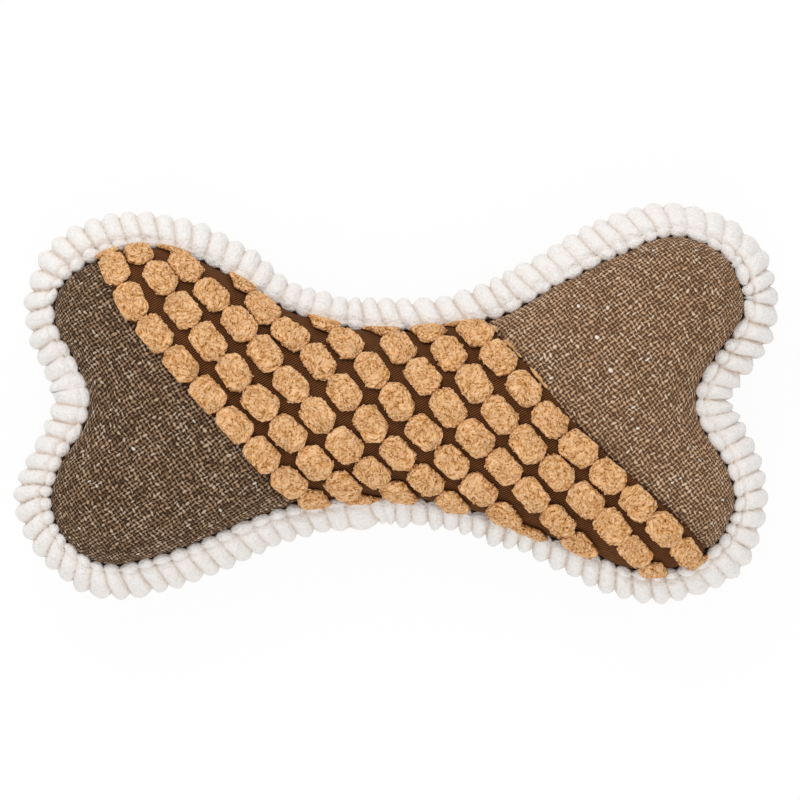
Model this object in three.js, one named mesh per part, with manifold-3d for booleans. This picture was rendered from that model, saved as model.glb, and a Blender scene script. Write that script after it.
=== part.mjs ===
// A stuffed bone-shaped chew toy of cloth, lying on its back with its front face up.
// X runs along the toy, Y across it, and Z up through its thickness.
import * as THREE from 'three';
import { mergeVertices } from 'three/addons/utils/BufferGeometryUtils.js';
import Module from 'manifold-3d';

// Driving sizes of the sewn body, in millimetres
const seamLength = 274.4; // between the end seams
const seamWidth = 129.8; // between the side seams, over the lobes
const borderHeight = 26; // between the front and the back seam
const lobeReach = 12.8; // how far the ribbed border stands out at the lobes
const waistReach = 9.8; // and along the waist
const frontCrown = 23; // rise of the front face over its seam
const backCrown = 22; // and of the back face
const crownRun = 42; // distance from the seam over which a face rises
const clothThickness = 1.4;
const restCut = 0.5; // depth of the flat where the back rests

// Clearances between pieces
const clearance = 0.3;
const seamTuck = 0.6; // how far a face's edge stays inside the seam line
const fillingClearance = 0.9; // between the filling and the border's wall
const overrun = 20; // how far a cutting solid runs past what it cuts

// Ribbed border strip
const ribCount = 118;
const ribDepth = 2.2;
const borderWall = 4.8; // from a rib's crest to the inside of the strip
const borderInnerHeight = 14; // of the strip's inner wall
const joinShare = 0.74; // where the strip's two ends meet, along the seam
const waistShares = [0.3, 0.8]; // of the half length, between which the waist swells into the lobes

// Pile pads on the slanted band
const padStep = 15.6; // along a row
const padWidth = 11.6;
const padNeckWidth = 6.2; // where one pad touches the next
const padTopWidth = 7.4;
const padHeight = 3.6;
const padNeckTopWidth = 4.2;
const padNeckHeight = 2.2;
const padNeckShare = 0.22; // of a pad's length, over which it widens from its neck
const padShoulder = 1.2; // height at which a pad is widest
const padRoot = 1.6; // how far a pad's foot is carried down before it is cut to the cloth
const padEdgeGap = 1.2; // between a row's ends and the seam
const firstRowShare = 0.037; // of the band's width
const rowStepShare = 0.1275;
// Where each row's first pad past the middle line lies, in pad steps
const rowStartShares = [0.74, 0.01, 0.42, 0.71, 0.98, 0.18, 0.41, 0.57];

// Sewing threads
const seamThreadRadius = 0.6;
const bandThreadRadius = 0.45;
const closingThreadRadius = 0.65;
const closingStitchWave = 0.5;
const closingShares = [0.7, 0.775]; // of the back seam, sewn by hand after filling

// Squeaker in its pocket in the filling
const squeakerRadius = 17;
const squeakerBaseThickness = 3;
const collarRadius = 5;
const collarHeight = 6;
const reedBoreRadius = 3.3;
const bellowsInset = 1; // how far the bellows stays inside the base's rim
const bellowsHeight = 15;
const bellowsFold = 2.6; // height of half a fold
const bellowsFoldDepth = 3.4; // how far a fold is drawn in
const bellowsTopInset = 6; // how far the top is drawn in
const bellowsWall = 1.1;
const holderWall = 1.3;
const holderFlange = 1.5; // how far its flange stands out past its tube
const flangeThickness = 1;
const reedWidth = 2.6;
const reedThickness = 0.5;
const reedHeight = 6;
const pocketClearance = 0.4;

// How finely the pieces are faceted
const stationCount = 80; // around a face
// Rings of a face as [share of the way out from the middle, stations from one point to the next]
const frontRingShares = [[0.955, 1], [0.87, 1], [0.72, 2], [0.48, 2], [0.22, 4]];
const backRingShares = [[0.95, 1], [0.83, 1], [0.6, 2], [0.3, 4]];
const seamSampleCount = 480;
const rowPathCount = 160;
const bandSeamCount = 14;
const lathePoints = 18;
const holderPoints = 10;
const pocketPoints = 24;
const joinPoints = 9;
const closingPoints = 20;

// Seam outline around the front, counter-clockwise from the right notch, as shares of its half length and width
const outlineShares = [
  [0.852, -0.02], [0.875, 0.2], [0.955, 0.41], [1, 0.64], [0.965, 0.84], [0.87, 0.97], [0.77, 1],
  [0.64, 0.93], [0.46, 0.75], [0.28, 0.55], [0.08, 0.47], [-0.13, 0.47], [-0.3, 0.56], [-0.46, 0.74],
  [-0.6, 0.88], [-0.76, 0.945], [-0.88, 0.88], [-0.965, 0.7], [-0.975, 0.5], [-0.92, 0.27],
  [-0.885, 0.06], [-0.915, -0.13], [-0.975, -0.34], [-1, -0.58], [-0.965, -0.82], [-0.87, -0.97],
  [-0.75, -1], [-0.58, -0.92], [-0.4, -0.76], [-0.22, -0.62], [-0.03, -0.58], [0.16, -0.64],
  [0.35, -0.78], [0.53, -0.93], [0.68, -1], [0.83, -0.97], [0.93, -0.84], [0.965, -0.62],
  [0.93, -0.38], [0.875, -0.18],
];
// The band's two seams from the top edge to the bottom edge, as shares of the half length and width
const leftSeamShares = [
  [-0.841, 0.843], [-0.779, 0.571], [-0.636, 0.202], [-0.493, -0.136], [-0.35, -0.474], [-0.279, -0.643],
];
const rightSeamShares = [
  [0.257, 0.48], [0.364, 0.236], [0.507, -0.127], [0.65, -0.414], [0.793, -0.686], [0.884, -0.885],
];

// Levels, from the back seam's plane at zero until the whole toy is set down on its rest
const backSeamLevel = 0;
const frontSeamLevel = backSeamLevel + borderHeight;
const middleLevel = backSeamLevel + borderHeight / 2;
const halfLength = seamLength / 2;
const halfWidth = seamWidth / 2;

const wasm = await Module();
wasm.setup();

const finishes = {
  burlap: new THREE.MeshStandardMaterial({ color: 0x6e5844, roughness: 0.9, metalness: 0 }),
  knit: new THREE.MeshStandardMaterial({ color: 0x4a2e20, roughness: 0.85, metalness: 0 }),
  pile: new THREE.MeshStandardMaterial({ color: 0xbc8957, roughness: 0.95, metalness: 0 }),
  plush: new THREE.MeshStandardMaterial({ color: 0xeae4df, roughness: 0.95, metalness: 0 }),
  thread: new THREE.MeshStandardMaterial({ color: 0x1d1a1f, roughness: 0.7, metalness: 0 }),
  filling: new THREE.MeshStandardMaterial({ color: 0xf3f1ec, roughness: 1, metalness: 0 }),
  squeaker: new THREE.MeshStandardMaterial({ color: 0xe9e7e0, roughness: 0.45, metalness: 0 }),
};

const toy = new THREE.Group();

// Adds one named piece to the toy
function addPiece(name, geometry, finish) {
  const mesh = new THREE.Mesh(geometry, finish);
  mesh.name = name;
  toy.add(mesh);
  return mesh;
}

// A manifold solid from a closed geometry
function toSolid(geometry) {
  const bare = geometry.clone();
  bare.deleteAttribute('normal');
  bare.deleteAttribute('uv');
  const merged = mergeVertices(bare);
  const vertProperties = new Float32Array(merged.attributes.position.array);
  const triVerts = new Uint32Array(merged.index.array);
  return new wasm.Manifold(new wasm.Mesh({ numProp: 3, vertProperties, triVerts }));
}

// The geometry of a manifold solid
function toGeometry(solid) {
  const { vertProperties, triVerts } = solid.getMesh();
  const geometry = new THREE.BufferGeometry();
  geometry.setAttribute('position', new THREE.BufferAttribute(new Float32Array(vertProperties), 3));
  geometry.setIndex(new THREE.BufferAttribute(new Uint32Array(triVerts), 1));
  geometry.computeVertexNormals();
  return geometry;
}

// The largest of the bodies that a cut leaves
function largestBody(solid) {
  return solid.decompose().sort((a, b) => b.volume() - a.volume())[0];
}

// Faces between a ring and the next one, which has as many points or half as many
function joinFaces(here, count, next, nextCount) {
  const faces = [];
  for (let i = 0; i < nextCount; i += 1) {
    const j = (i + 1) % nextCount;
    if (count === nextCount) {
      faces.push(here + i, here + j, next + j, here + i, next + j, next + i);
    } else {
      const middle = here + 2 * i + 1;
      faces.push(here + 2 * i, middle, next + i, middle, next + j, next + i, middle, here + 2 * j, next + j);
    }
  }
  return faces;
}

// Faces between a ring and one point
function fanFaces(here, count, tip) {
  return Array.from({ length: count }, (_, i) => [here + i, here + (i + 1) % count, tip]).flat();
}

// A closed skin through rings of points that turn counter-clockwise about the way they advance.
// It joins up on itself, or is closed by a fan to a tip at each end, or by the given faces of a ring.
function skinOver(rings, { tips, endFaces } = {}) {
  const points = rings.flat();
  const starts = rings.map((_, ring) => rings.slice(0, ring).flat().length);
  const faces = [];
  const joins = tips || endFaces ? rings.length - 1 : rings.length;
  for (let ring = 0; ring < joins; ring += 1) {
    const next = (ring + 1) % rings.length;
    faces.push(...joinFaces(starts[ring], rings[ring].length, starts[next], rings[next].length));
  }
  const last = starts[rings.length - 1];
  if (tips) {
    const first = points.push(...tips) - tips.length;
    faces.push(...fanFaces(0, rings[0].length, first).reverse());
    faces.push(...fanFaces(last, rings[rings.length - 1].length, first + 1));
  }
  for (const [a, b, c] of endFaces ?? []) faces.push(a, c, b, last + a, last + b, last + c);
  const geometry = new THREE.BufferGeometry().setFromPoints(points);
  geometry.setIndex(faces);
  geometry.computeVertexNormals();
  return geometry;
}

// A ring of a section set at a frame; the section's points are [out along side, up along lift]
function sectionRing({ origin, side, lift }, section) {
  return section.map(([out, up]) => origin.clone().addScaledVector(side, out).addScaledVector(lift, up));
}

// Frames along a path, from its points and a lift direction at each
function pathFrames(points, lifts, closed = false) {
  const count = points.length;
  return points.map((origin, i) => {
    const before = points[closed ? (i + count - 1) % count : Math.max(i - 1, 0)];
    const after = points[closed ? (i + 1) % count : Math.min(i + 1, count - 1)];
    const along = after.clone().sub(before).normalize();
    const side = along.clone().cross(lifts[i]).normalize();
    const lift = side.clone().cross(along);
    return { origin, side, lift };
  });
}

// A four-sided thread along a path
function thread(points, lifts, radius, closed = false) {
  const section = [[0, radius], [radius, 0], [0, -radius], [-radius, 0]];
  const rings = pathFrames(points, lifts, closed).map((frame) => sectionRing(frame, section));
  return closed ? skinOver(rings) : skinOver(rings, { endFaces: [[0, 1, 2], [0, 2, 3]] });
}

// Seam outline, walked evenly
const seamCurve = new THREE.CatmullRomCurve3(
  outlineShares.map(([x, y]) => new THREE.Vector3(x * halfLength, y * halfWidth, 0)),
  true,
);
seamCurve.arcLengthDivisions = outlineShares.length * seamSampleCount / 4;
const up = new THREE.Vector3(0, 0, 1);

// Frame on the seam outline at a share of its length, at a level
function seamFrame(share, level) {
  const at = ((share % 1) + 1) % 1;
  const origin = seamCurve.getPointAt(at).setZ(level);
  const side = seamCurve.getTangentAt(at).cross(up).normalize();
  return { origin, side, lift: up.clone() };
}

const seamRun = seamCurve.getLength() / seamSampleCount;
const seamSamples = Array.from({ length: seamSampleCount }, (_, i) => seamFrame(i / seamSampleCount, 0));

// Smooth distance from the seam outline, negative outside it
function seamDistance(x, y) {
  let pull = 0;
  let nearest = seamSamples[0];
  let least = Infinity;
  for (const sample of seamSamples) {
    const reach = Math.hypot(x - sample.origin.x, y - sample.origin.y);
    pull += seamRun / reach ** 3;
    if (reach < least) {
      least = reach;
      nearest = sample;
    }
  }
  const out = (x - nearest.origin.x) * nearest.side.x + (y - nearest.origin.y) * nearest.side.y;
  return Math.sqrt(2 / pull) * (out > 0 ? -1 : 1);
}

// Height of a stuffed face over its seam, for a face moved out by grow
function faceHeight(x, y, crown, grow = 0) {
  const run = THREE.MathUtils.clamp((seamDistance(x, y) + grow) / (crownRun + grow), 0, 1);
  return (crown + grow) * Math.sqrt(1 - (1 - run) ** 2);
}

// Stations round the seam outline at a level, each moved out by a distance that may follow its place;
// they turn counter-clockwise seen from above, or from below where facing is -1
function seamStations(level, outAt, facing = 1) {
  return Array.from({ length: stationCount }, (_, i) => {
    const { origin, side } = seamFrame(facing * i / stationCount, level);
    return origin.addScaledVector(side, outAt(origin.x));
  });
}

// Rings of a stuffed face from its seam to near its middle, facing up (1) or down (-1)
function faceRings({ level, crown, ringShares, facing }, grow) {
  const stations = seamStations(level, () => grow, facing);
  const rings = [stations];
  for (const [share, skip] of ringShares) {
    rings.push(stations.filter((_, i) => i % skip === 0).map(({ x, y }) => {
      const height = faceHeight(x * share, y * share, crown, grow);
      return new THREE.Vector3(x * share, y * share, level + facing * height);
    }));
  }
  return rings;
}

// The middle point of a stuffed face
function faceTip({ level, crown, facing }, grow) {
  return new THREE.Vector3(0, 0, level + facing * faceHeight(0, 0, crown, grow));
}

// A solid between a face's seam plane, or a skirt under it, and the face moved out by grow
function faceDome(face, grow, skirt = 0) {
  const rings = faceRings(face, grow);
  if (skirt) rings.unshift(rings[0].map((point) => point.clone().setZ(face.level - face.facing * skirt)));
  const foot = new THREE.Vector3(0, 0, face.level - face.facing * skirt);
  return toSolid(skinOver(rings, { tips: [foot, faceTip(face, grow)] }));
}

const frontFace = { level: frontSeamLevel, crown: frontCrown, ringShares: frontRingShares, facing: 1 };
const backFace = { level: backSeamLevel, crown: backCrown, ringShares: backRingShares, facing: -1 };

// All that lies under the front face, with clearance for what is laid on it
const clothUnder = faceDome(frontFace, clearance - seamTuck, overrun);

// The cloth of a face: the outside of its dome less the inside
function clothShell(face) {
  const outer = faceDome(face, -seamTuck);
  return outer.subtract(faceDome(face, -seamTuck - clothThickness, clothThickness));
}

// A band seam as points on the plan from past the top edge to past the bottom edge, moved sideways by shift
function bandSeam(shares, shift = 0) {
  const points = shares.map(([x, y]) => new THREE.Vector2(x * halfLength + shift, y * halfWidth));
  const past = (end, inner) => end.clone().add(end.clone().sub(inner).setLength(overrun));
  const curve = new THREE.SplineCurve([
    past(points[0], points[1]), ...points, past(points[points.length - 1], points[points.length - 2]),
  ]);
  return curve.getPoints(bandSeamCount);
}

// An upright cutter over an outline on the plan, reaching past both faces
function planCutter(outline) {
  const low = backSeamLevel - backCrown - overrun;
  const high = frontSeamLevel + frontCrown + padHeight + overrun;
  const geometry = new THREE.ExtrudeGeometry(new THREE.Shape(outline), { depth: high - low, bevelEnabled: false });
  return toSolid(geometry.translate(0, 0, low));
}

// Cutters over the panel left of the band, the band, and the panel right of it, each short of the seams by gap
function leftCutter(gap) {
  return planCutter([...bandSeam(leftSeamShares, -gap), ...farCorners(-1)]);
}

function bandCutter(gap) {
  return planCutter([...bandSeam(leftSeamShares, gap), ...bandSeam(rightSeamShares, -gap).reverse()]);
}

function rightCutter(gap) {
  return planCutter([...bandSeam(rightSeamShares, gap), ...farCorners(1)]);
}

// Corners past the toy's end on one side (1 right, -1 left), from its bottom edge to its top edge
function farCorners(end) {
  const [far, deep] = [halfLength + overrun, halfWidth + overrun];
  const places = [[0, -deep], [end * far, -deep], [end * far, deep], [0, deep]];
  return places.map(([x, y]) => new THREE.Vector2(x, y));
}

// Front face in three panels and the back face in one
function addPanels() {
  const front = clothShell(frontFace);
  const gap = clearance / 2 / Math.SQRT1_2;
  const cut = (cutter) => toGeometry(largestBody(front.intersect(cutter)));
  addPiece('front_panel_left', cut(leftCutter(gap)), finishes.burlap);
  addPiece('band_ground', cut(bandCutter(gap)), finishes.knit);
  addPiece('front_panel_right', cut(rightCutter(gap)), finishes.burlap);
  addPiece('back_panel', toGeometry(clothShell(backFace).subtract(restCutter())), finishes.burlap);
}

// Level of the flat that the back panel rests on
function restLevel() {
  const peak = Math.max(...faceRings(backFace, -seamTuck).flat().map(({ z }) => backSeamLevel - z));
  return backSeamLevel - peak + restCut;
}

// A slab under the rest level
function restCutter() {
  const slab = new THREE.BoxGeometry(seamLength + overrun, seamWidth + overrun, overrun);
  return toSolid(slab.translate(0, 0, restLevel() - overrun / 2));
}

// How far the border stands out at a place along the toy
function borderReach(x) {
  const swell = THREE.MathUtils.smoothstep(Math.abs(x) / halfLength, ...waistShares);
  return THREE.MathUtils.lerp(waistReach, lobeReach, swell);
}

// The border strip's section at a crest or a groove of its ribs
function borderSection(reach, depth) {
  const half = borderHeight / 2;
  const outer = [90, 45, 0, -45, -90].map((degrees) => {
    const angle = THREE.MathUtils.degToRad(degrees);
    return [clearance + (reach - depth) * Math.cos(angle), half * Math.sin(angle)];
  });
  const inside = clearance + reach - borderWall;
  return [...outer, [inside, -borderInnerHeight / 2], [inside, borderInnerHeight / 2]];
}

// The ribbed strip round the toy, open by a narrow gap where its ends meet
function addBorderStrip() {
  const ringCount = 2 * ribCount;
  const half = clearance / seamCurve.getLength();
  const rings = [];
  for (let i = 0; i <= ringCount; i += 1) {
    const share = joinShare + half + (1 - 2 * half) * i / ringCount;
    const frame = seamFrame(share, middleLevel);
    const depth = i % 2 ? 0 : ribDepth;
    rings.push(sectionRing(frame, borderSection(borderReach(frame.origin.x), depth)));
  }
  const endFaces = [[0, 1, 6], [1, 2, 6], [2, 5, 6], [2, 3, 5], [3, 4, 5]];
  addPiece('border_strip', skinOver(rings, { endFaces }), finishes.plush);
}

// Walks one row's middle line over the front face, with the length passed since the toy's middle line
function rowPath(share) {
  const left = new THREE.Vector2();
  const edgeAt = (seam, y) => {
    const i = THREE.MathUtils.clamp(seam.findIndex((point) => point.y < y), 1, seam.length - 1);
    const t = (seam[i - 1].y - y) / (seam[i - 1].y - seam[i].y);
    return left.lerpVectors(seam[i - 1], seam[i], t).x;
  };
  const leftSeam = bandSeam(leftSeamShares);
  const rightSeam = bandSeam(rightSeamShares);
  const path = [];
  let walked = 0;
  for (let i = 0; i <= rowPathCount; i += 1) {
    const y = halfWidth * (1 - 2 * i / rowPathCount);
    const x = THREE.MathUtils.lerp(edgeAt(leftSeam, y), edgeAt(rightSeam, y), share);
    const point = new THREE.Vector3(x, y, frontSeamLevel + faceHeight(x, y, frontCrown));
    if (i > 0) walked += point.distanceTo(path[i - 1].point);
    path.push({ point, walked });
  }
  const middle = path[rowPathCount / 2].walked;
  return path.map(({ point, walked: length }) => ({ point, walked: length - middle }));
}

// The point at a walked length along a path, which runs straight on past its ends
function pathPoint(path, length) {
  const found = path.findIndex(({ walked }) => walked >= length);
  const i = THREE.MathUtils.clamp(found < 0 ? path.length - 1 : found, 1, path.length - 1);
  const t = (length - path[i - 1].walked) / (path[i].walked - path[i - 1].walked);
  return path[i - 1].point.clone().lerp(path[i].point, t);
}

// Outward direction of the front face
function faceLift({ x, y }) {
  const step = clothThickness;
  const slopeX = faceHeight(x + step, y, frontCrown) - faceHeight(x - step, y, frontCrown);
  const slopeY = faceHeight(x, y + step, frontCrown) - faceHeight(x, y - step, frontCrown);
  return new THREE.Vector3(-slopeX, -slopeY, 2 * step).normalize();
}

// One row of pads as a single strip, necked where one pad meets the next
function padStrip(row) {
  const path = rowPath(firstRowShare + rowStepShare * row);
  const ends = [path[0].walked, path[path.length - 1].walked];
  const ringAt = (frame, width, top, height) => sectionRing(frame, [
    [top / 2, height], [width / 2, padShoulder], [width / 2, -padRoot],
    [-width / 2, -padRoot], [-width / 2, padShoulder], [-top / 2, height],
  ]);
  const stops = [];
  const start = rowStartShares[row] - 0.5;
  for (let pad = Math.ceil(ends[0] / padStep - start); (pad + start) * padStep < ends[1]; pad += 1) {
    const length = (pad + start) * padStep;
    stops.push({ length, neck: true });
    stops.push({ length: length + padStep * padNeckShare, neck: false });
    stops.push({ length: length + padStep * (1 - padNeckShare), neck: false });
  }
  stops.push({ length: stops[stops.length - 1].length + padStep * padNeckShare, neck: true });
  const points = stops.map(({ length }) => pathPoint(path, length));
  const frames = pathFrames(points, points.map(faceLift));
  const rings = frames.map((frame, i) => (stops[i].neck
    ? ringAt(frame, padNeckWidth, padNeckTopWidth, padNeckHeight)
    : ringAt(frame, padWidth, padTopWidth, padHeight)));
  return skinOver(rings, { tips: [frames[0].origin, frames[frames.length - 1].origin] });
}

// All rows of pads, cut to the band, to the seam and to the cloth under them
function addPileRows() {
  const inset = seamStations(0, () => -padEdgeGap);
  const field = bandCutter(clearance + 2 * bandThreadRadius).intersect(planCutter(inset));
  for (let row = 0; row < rowStartShares.length; row += 1) {
    const strip = toSolid(padStrip(row)).intersect(field).subtract(clothUnder);
    addPiece(`pile_row_${row + 1}`, toGeometry(largestBody(strip)), finishes.pile);
  }
}

// Half of the filling, from the middle plane to one face, with its half of the squeaker's pocket
function fillingHalf(face, pocket) {
  const rings = faceRings(face, -seamTuck - clothThickness - clearance);
  const sign = face.facing;
  const out = (x) => clearance + borderReach(x) - borderWall - fillingClearance;
  rings.unshift(seamStations(middleLevel + sign * (borderInnerHeight / 2 - fillingClearance), out, sign));
  rings.unshift(seamStations(middleLevel + sign * clearance / 2, out, sign));
  const foot = new THREE.Vector3(0, 0, middleLevel + sign * clearance / 2);
  const tip = faceTip(face, -seamTuck - clothThickness - clearance);
  return toGeometry(toSolid(skinOver(rings, { tips: [foot, tip] })).subtract(pocket));
}

const squeakerHeight = squeakerBaseThickness + clearance + bellowsHeight;
const pocketFloor = middleLevel - squeakerHeight / 2 - pocketClearance;
const squeakerFoot = pocketFloor + clearance;

// Both halves of the filling
function addFilling() {
  const height = squeakerHeight + 2 * pocketClearance;
  const pocket = new THREE.CylinderGeometry(
    squeakerRadius + pocketClearance, squeakerRadius + pocketClearance, height, pocketPoints,
  );
  const cutter = toSolid(pocket.rotateX(Math.PI / 2).translate(0, 0, pocketFloor + height / 2));
  addPiece('filling_front', fillingHalf(frontFace, cutter), finishes.filling);
  addPiece('filling_back', fillingHalf(backFace, cutter), finishes.filling);
}

// Turns a profile of [radius, height] points about the Z axis, standing at a level
function turned(profile, level, count) {
  const points = profile.map(([radius, height]) => new THREE.Vector2(radius, height));
  return new THREE.LatheGeometry(points, count).rotateX(Math.PI / 2).translate(0, 0, level);
}

// Squeaker: a hard base with a reed in its collar, under a bellows that is pressed
function addSqueaker() {
  const thick = squeakerBaseThickness;
  const base = [
    [reedBoreRadius, 0], [squeakerRadius, 0], [squeakerRadius, thick], [collarRadius, thick],
    [collarRadius, collarHeight], [reedBoreRadius, collarHeight], [reedBoreRadius, 0],
  ];
  addPiece('squeaker_base', turned(base, squeakerFoot, lathePoints), finishes.squeaker);

  const tube = reedBoreRadius - clearance;
  const bore = tube - holderWall;
  const seat = collarHeight + clearance;
  const holder = [
    [bore, clearance], [tube, clearance], [tube, seat], [tube + holderFlange, seat],
    [tube + holderFlange, seat + flangeThickness], [bore, seat + flangeThickness], [bore, clearance],
  ];
  addPiece('squeaker_reed_holder', turned(holder, squeakerFoot, holderPoints), finishes.squeaker);

  const reed = new THREE.BoxGeometry(reedWidth, reedThickness, reedHeight);
  const reedLevel = squeakerFoot + clearance + reedHeight / 2;
  addPiece('squeaker_reed', reed.translate(0, 0, reedLevel), finishes.squeaker);

  const wide = squeakerRadius - bellowsInset;
  const waist = wide - bellowsFoldDepth;
  const outer = [
    [wide, 0], [waist, bellowsFold], [wide, 2 * bellowsFold], [waist, 3 * bellowsFold],
    [wide - bellowsWall, 4 * bellowsFold], [wide - bellowsTopInset, bellowsHeight - bellowsWall],
    [0, bellowsHeight],
  ];
  const inner = outer.map(([radius, height], i) => {
    const last = i === outer.length - 1;
    return [last ? 0 : radius - 1.6 * bellowsWall, i ? height - (last ? bellowsWall : bellowsWall / 2) : 0];
  });
  const bellows = turned([...inner.reverse(), ...outer], squeakerFoot + thick + clearance, lathePoints);
  addPiece('squeaker_bellows', bellows, finishes.squeaker);
}

// Points on a seam between two shares of its length, lying in the crease outside a face's edge
function creasePoints(facing, radius, from, to, count, wave = 0) {
  const level = facing > 0 ? frontSeamLevel : backSeamLevel;
  const rise = facing * (clearance + radius + wave);
  return Array.from({ length: count + 1 }, (_, i) => {
    const { origin, side } = seamFrame(from + (to - from) * i / count, level + rise);
    return origin.addScaledVector(side, radius + (i % 2 ? wave : 0));
  });
}

// Threads in the seams: round the front, round the back, across the border's join and along the band
function addThreads() {
  const upward = (points) => points.map(() => up);
  const front = creasePoints(1, seamThreadRadius, 0, 1, stationCount).slice(0, stationCount);
  addPiece('front_seam_thread', thread(front, upward(front), seamThreadRadius, true), finishes.thread);

  const gap = clearance / seamCurve.getLength();
  const [from, to] = closingShares;
  const back = creasePoints(-1, seamThreadRadius, to + gap, 1 + from - gap, stationCount);
  addPiece('back_seam_thread', thread(back, upward(back), seamThreadRadius), finishes.thread);

  const closing = creasePoints(-1, closingThreadRadius, from + gap, to - gap, closingPoints, closingStitchWave);
  addPiece('closing_stitch', thread(closing, upward(closing), closingThreadRadius), finishes.thread);

  addPiece('border_join_thread', joinThread(), finishes.thread);
  addPiece('band_seam_thread_left', bandThread(leftSeamShares), finishes.thread);
  addPiece('band_seam_thread_right', bandThread(rightSeamShares), finishes.thread);
}

// Thread over the groove where the border strip's ends meet
function joinThread() {
  const { origin, side, lift } = seamFrame(joinShare, middleLevel);
  const off = clearance + seamThreadRadius;
  const reach = borderReach(origin.x) - ribDepth + off;
  const half = borderHeight / 2;
  const points = [];
  const lifts = [];
  for (let i = 0; i < joinPoints; i += 1) {
    const angle = THREE.MathUtils.degToRad(THREE.MathUtils.lerp(62, -62, i / (joinPoints - 1)));
    const [out, rise] = [clearance + reach * Math.cos(angle), (half + off) * Math.sin(angle)];
    points.push(origin.clone().addScaledVector(side, out).addScaledVector(lift, rise));
    lifts.push(side.clone().multiplyScalar(Math.cos(angle)).addScaledVector(lift, Math.sin(angle)));
  }
  return thread(points, lifts, seamThreadRadius);
}

// Thread on the cloth along one of the band's seams
function bandThread(shares) {
  const edge = bandSeam(shares).filter(({ x, y }) => seamDistance(x, y) > padEdgeGap);
  const points = edge.map(({ x, y }) => {
    const foot = new THREE.Vector3(x, y, frontSeamLevel + faceHeight(x, y, frontCrown, -seamTuck));
    return foot.addScaledVector(faceLift(foot), bandThreadRadius);
  });
  const laid = thread(points, points.map(faceLift), bandThreadRadius);
  return toGeometry(largestBody(toSolid(laid).subtract(clothUnder)));
}

addPanels();
addPileRows();
addBorderStrip();
addFilling();
addSqueaker();
addThreads();

// Sets the toy down on its rest, with its middle over the origin
const bounds = new THREE.Box3().setFromObject(toy);
const centre = bounds.getCenter(new THREE.Vector3());
toy.position.set(-centre.x, -centre.y, -restLevel());
toy.updateMatrixWorld(true);

export default toy;
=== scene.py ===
"""Looks of a stuffed, bone-shaped chew toy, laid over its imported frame.

Shapes are worked out in millimetres, in the frame's own axes, and written to meshes in metres.
"""
import logging
from dataclasses import dataclass, field
from enum import Enum

import bmesh
import bpy
import numpy as np
from mathutils import Matrix, Vector


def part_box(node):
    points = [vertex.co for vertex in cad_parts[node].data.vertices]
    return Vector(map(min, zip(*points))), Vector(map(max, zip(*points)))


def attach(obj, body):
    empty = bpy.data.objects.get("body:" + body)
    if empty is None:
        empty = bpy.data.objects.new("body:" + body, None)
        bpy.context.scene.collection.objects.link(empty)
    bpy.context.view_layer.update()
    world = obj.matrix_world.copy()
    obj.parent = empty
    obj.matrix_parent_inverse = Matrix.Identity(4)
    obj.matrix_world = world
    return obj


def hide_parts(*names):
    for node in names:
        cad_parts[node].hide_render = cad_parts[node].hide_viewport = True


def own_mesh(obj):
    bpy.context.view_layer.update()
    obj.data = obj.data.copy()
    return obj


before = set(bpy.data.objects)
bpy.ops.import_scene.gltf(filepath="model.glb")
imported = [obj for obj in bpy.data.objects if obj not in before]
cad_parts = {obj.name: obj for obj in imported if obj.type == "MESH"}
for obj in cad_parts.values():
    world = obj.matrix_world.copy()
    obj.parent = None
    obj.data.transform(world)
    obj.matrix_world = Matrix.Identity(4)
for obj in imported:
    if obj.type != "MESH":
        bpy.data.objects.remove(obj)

log = logging.getLogger("chew_toy")

Array = np.ndarray
MM = 0.001
TURN = 6.2832  # radians

# Seam outline, counter-clockwise from the right notch, as shares of its half length and width
OUTLINE_SHARES = (
    (0.852, -0.02), (0.875, 0.2), (0.955, 0.41), (1, 0.64), (0.965, 0.84), (0.87, 0.97), (0.77, 1),
    (0.64, 0.93), (0.46, 0.75), (0.28, 0.55), (0.08, 0.47), (-0.13, 0.47), (-0.3, 0.56), (-0.46, 0.74),
    (-0.6, 0.88), (-0.76, 0.945), (-0.88, 0.88), (-0.965, 0.7), (-0.975, 0.5), (-0.92, 0.27),
    (-0.885, 0.06), (-0.915, -0.13), (-0.975, -0.34), (-1, -0.58), (-0.965, -0.82), (-0.87, -0.97),
    (-0.75, -1), (-0.58, -0.92), (-0.4, -0.76), (-0.22, -0.62), (-0.03, -0.58), (0.16, -0.64),
    (0.35, -0.78), (0.53, -0.93), (0.68, -1), (0.83, -0.97), (0.93, -0.84), (0.965, -0.62),
    (0.93, -0.38), (0.875, -0.18),
)
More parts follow.
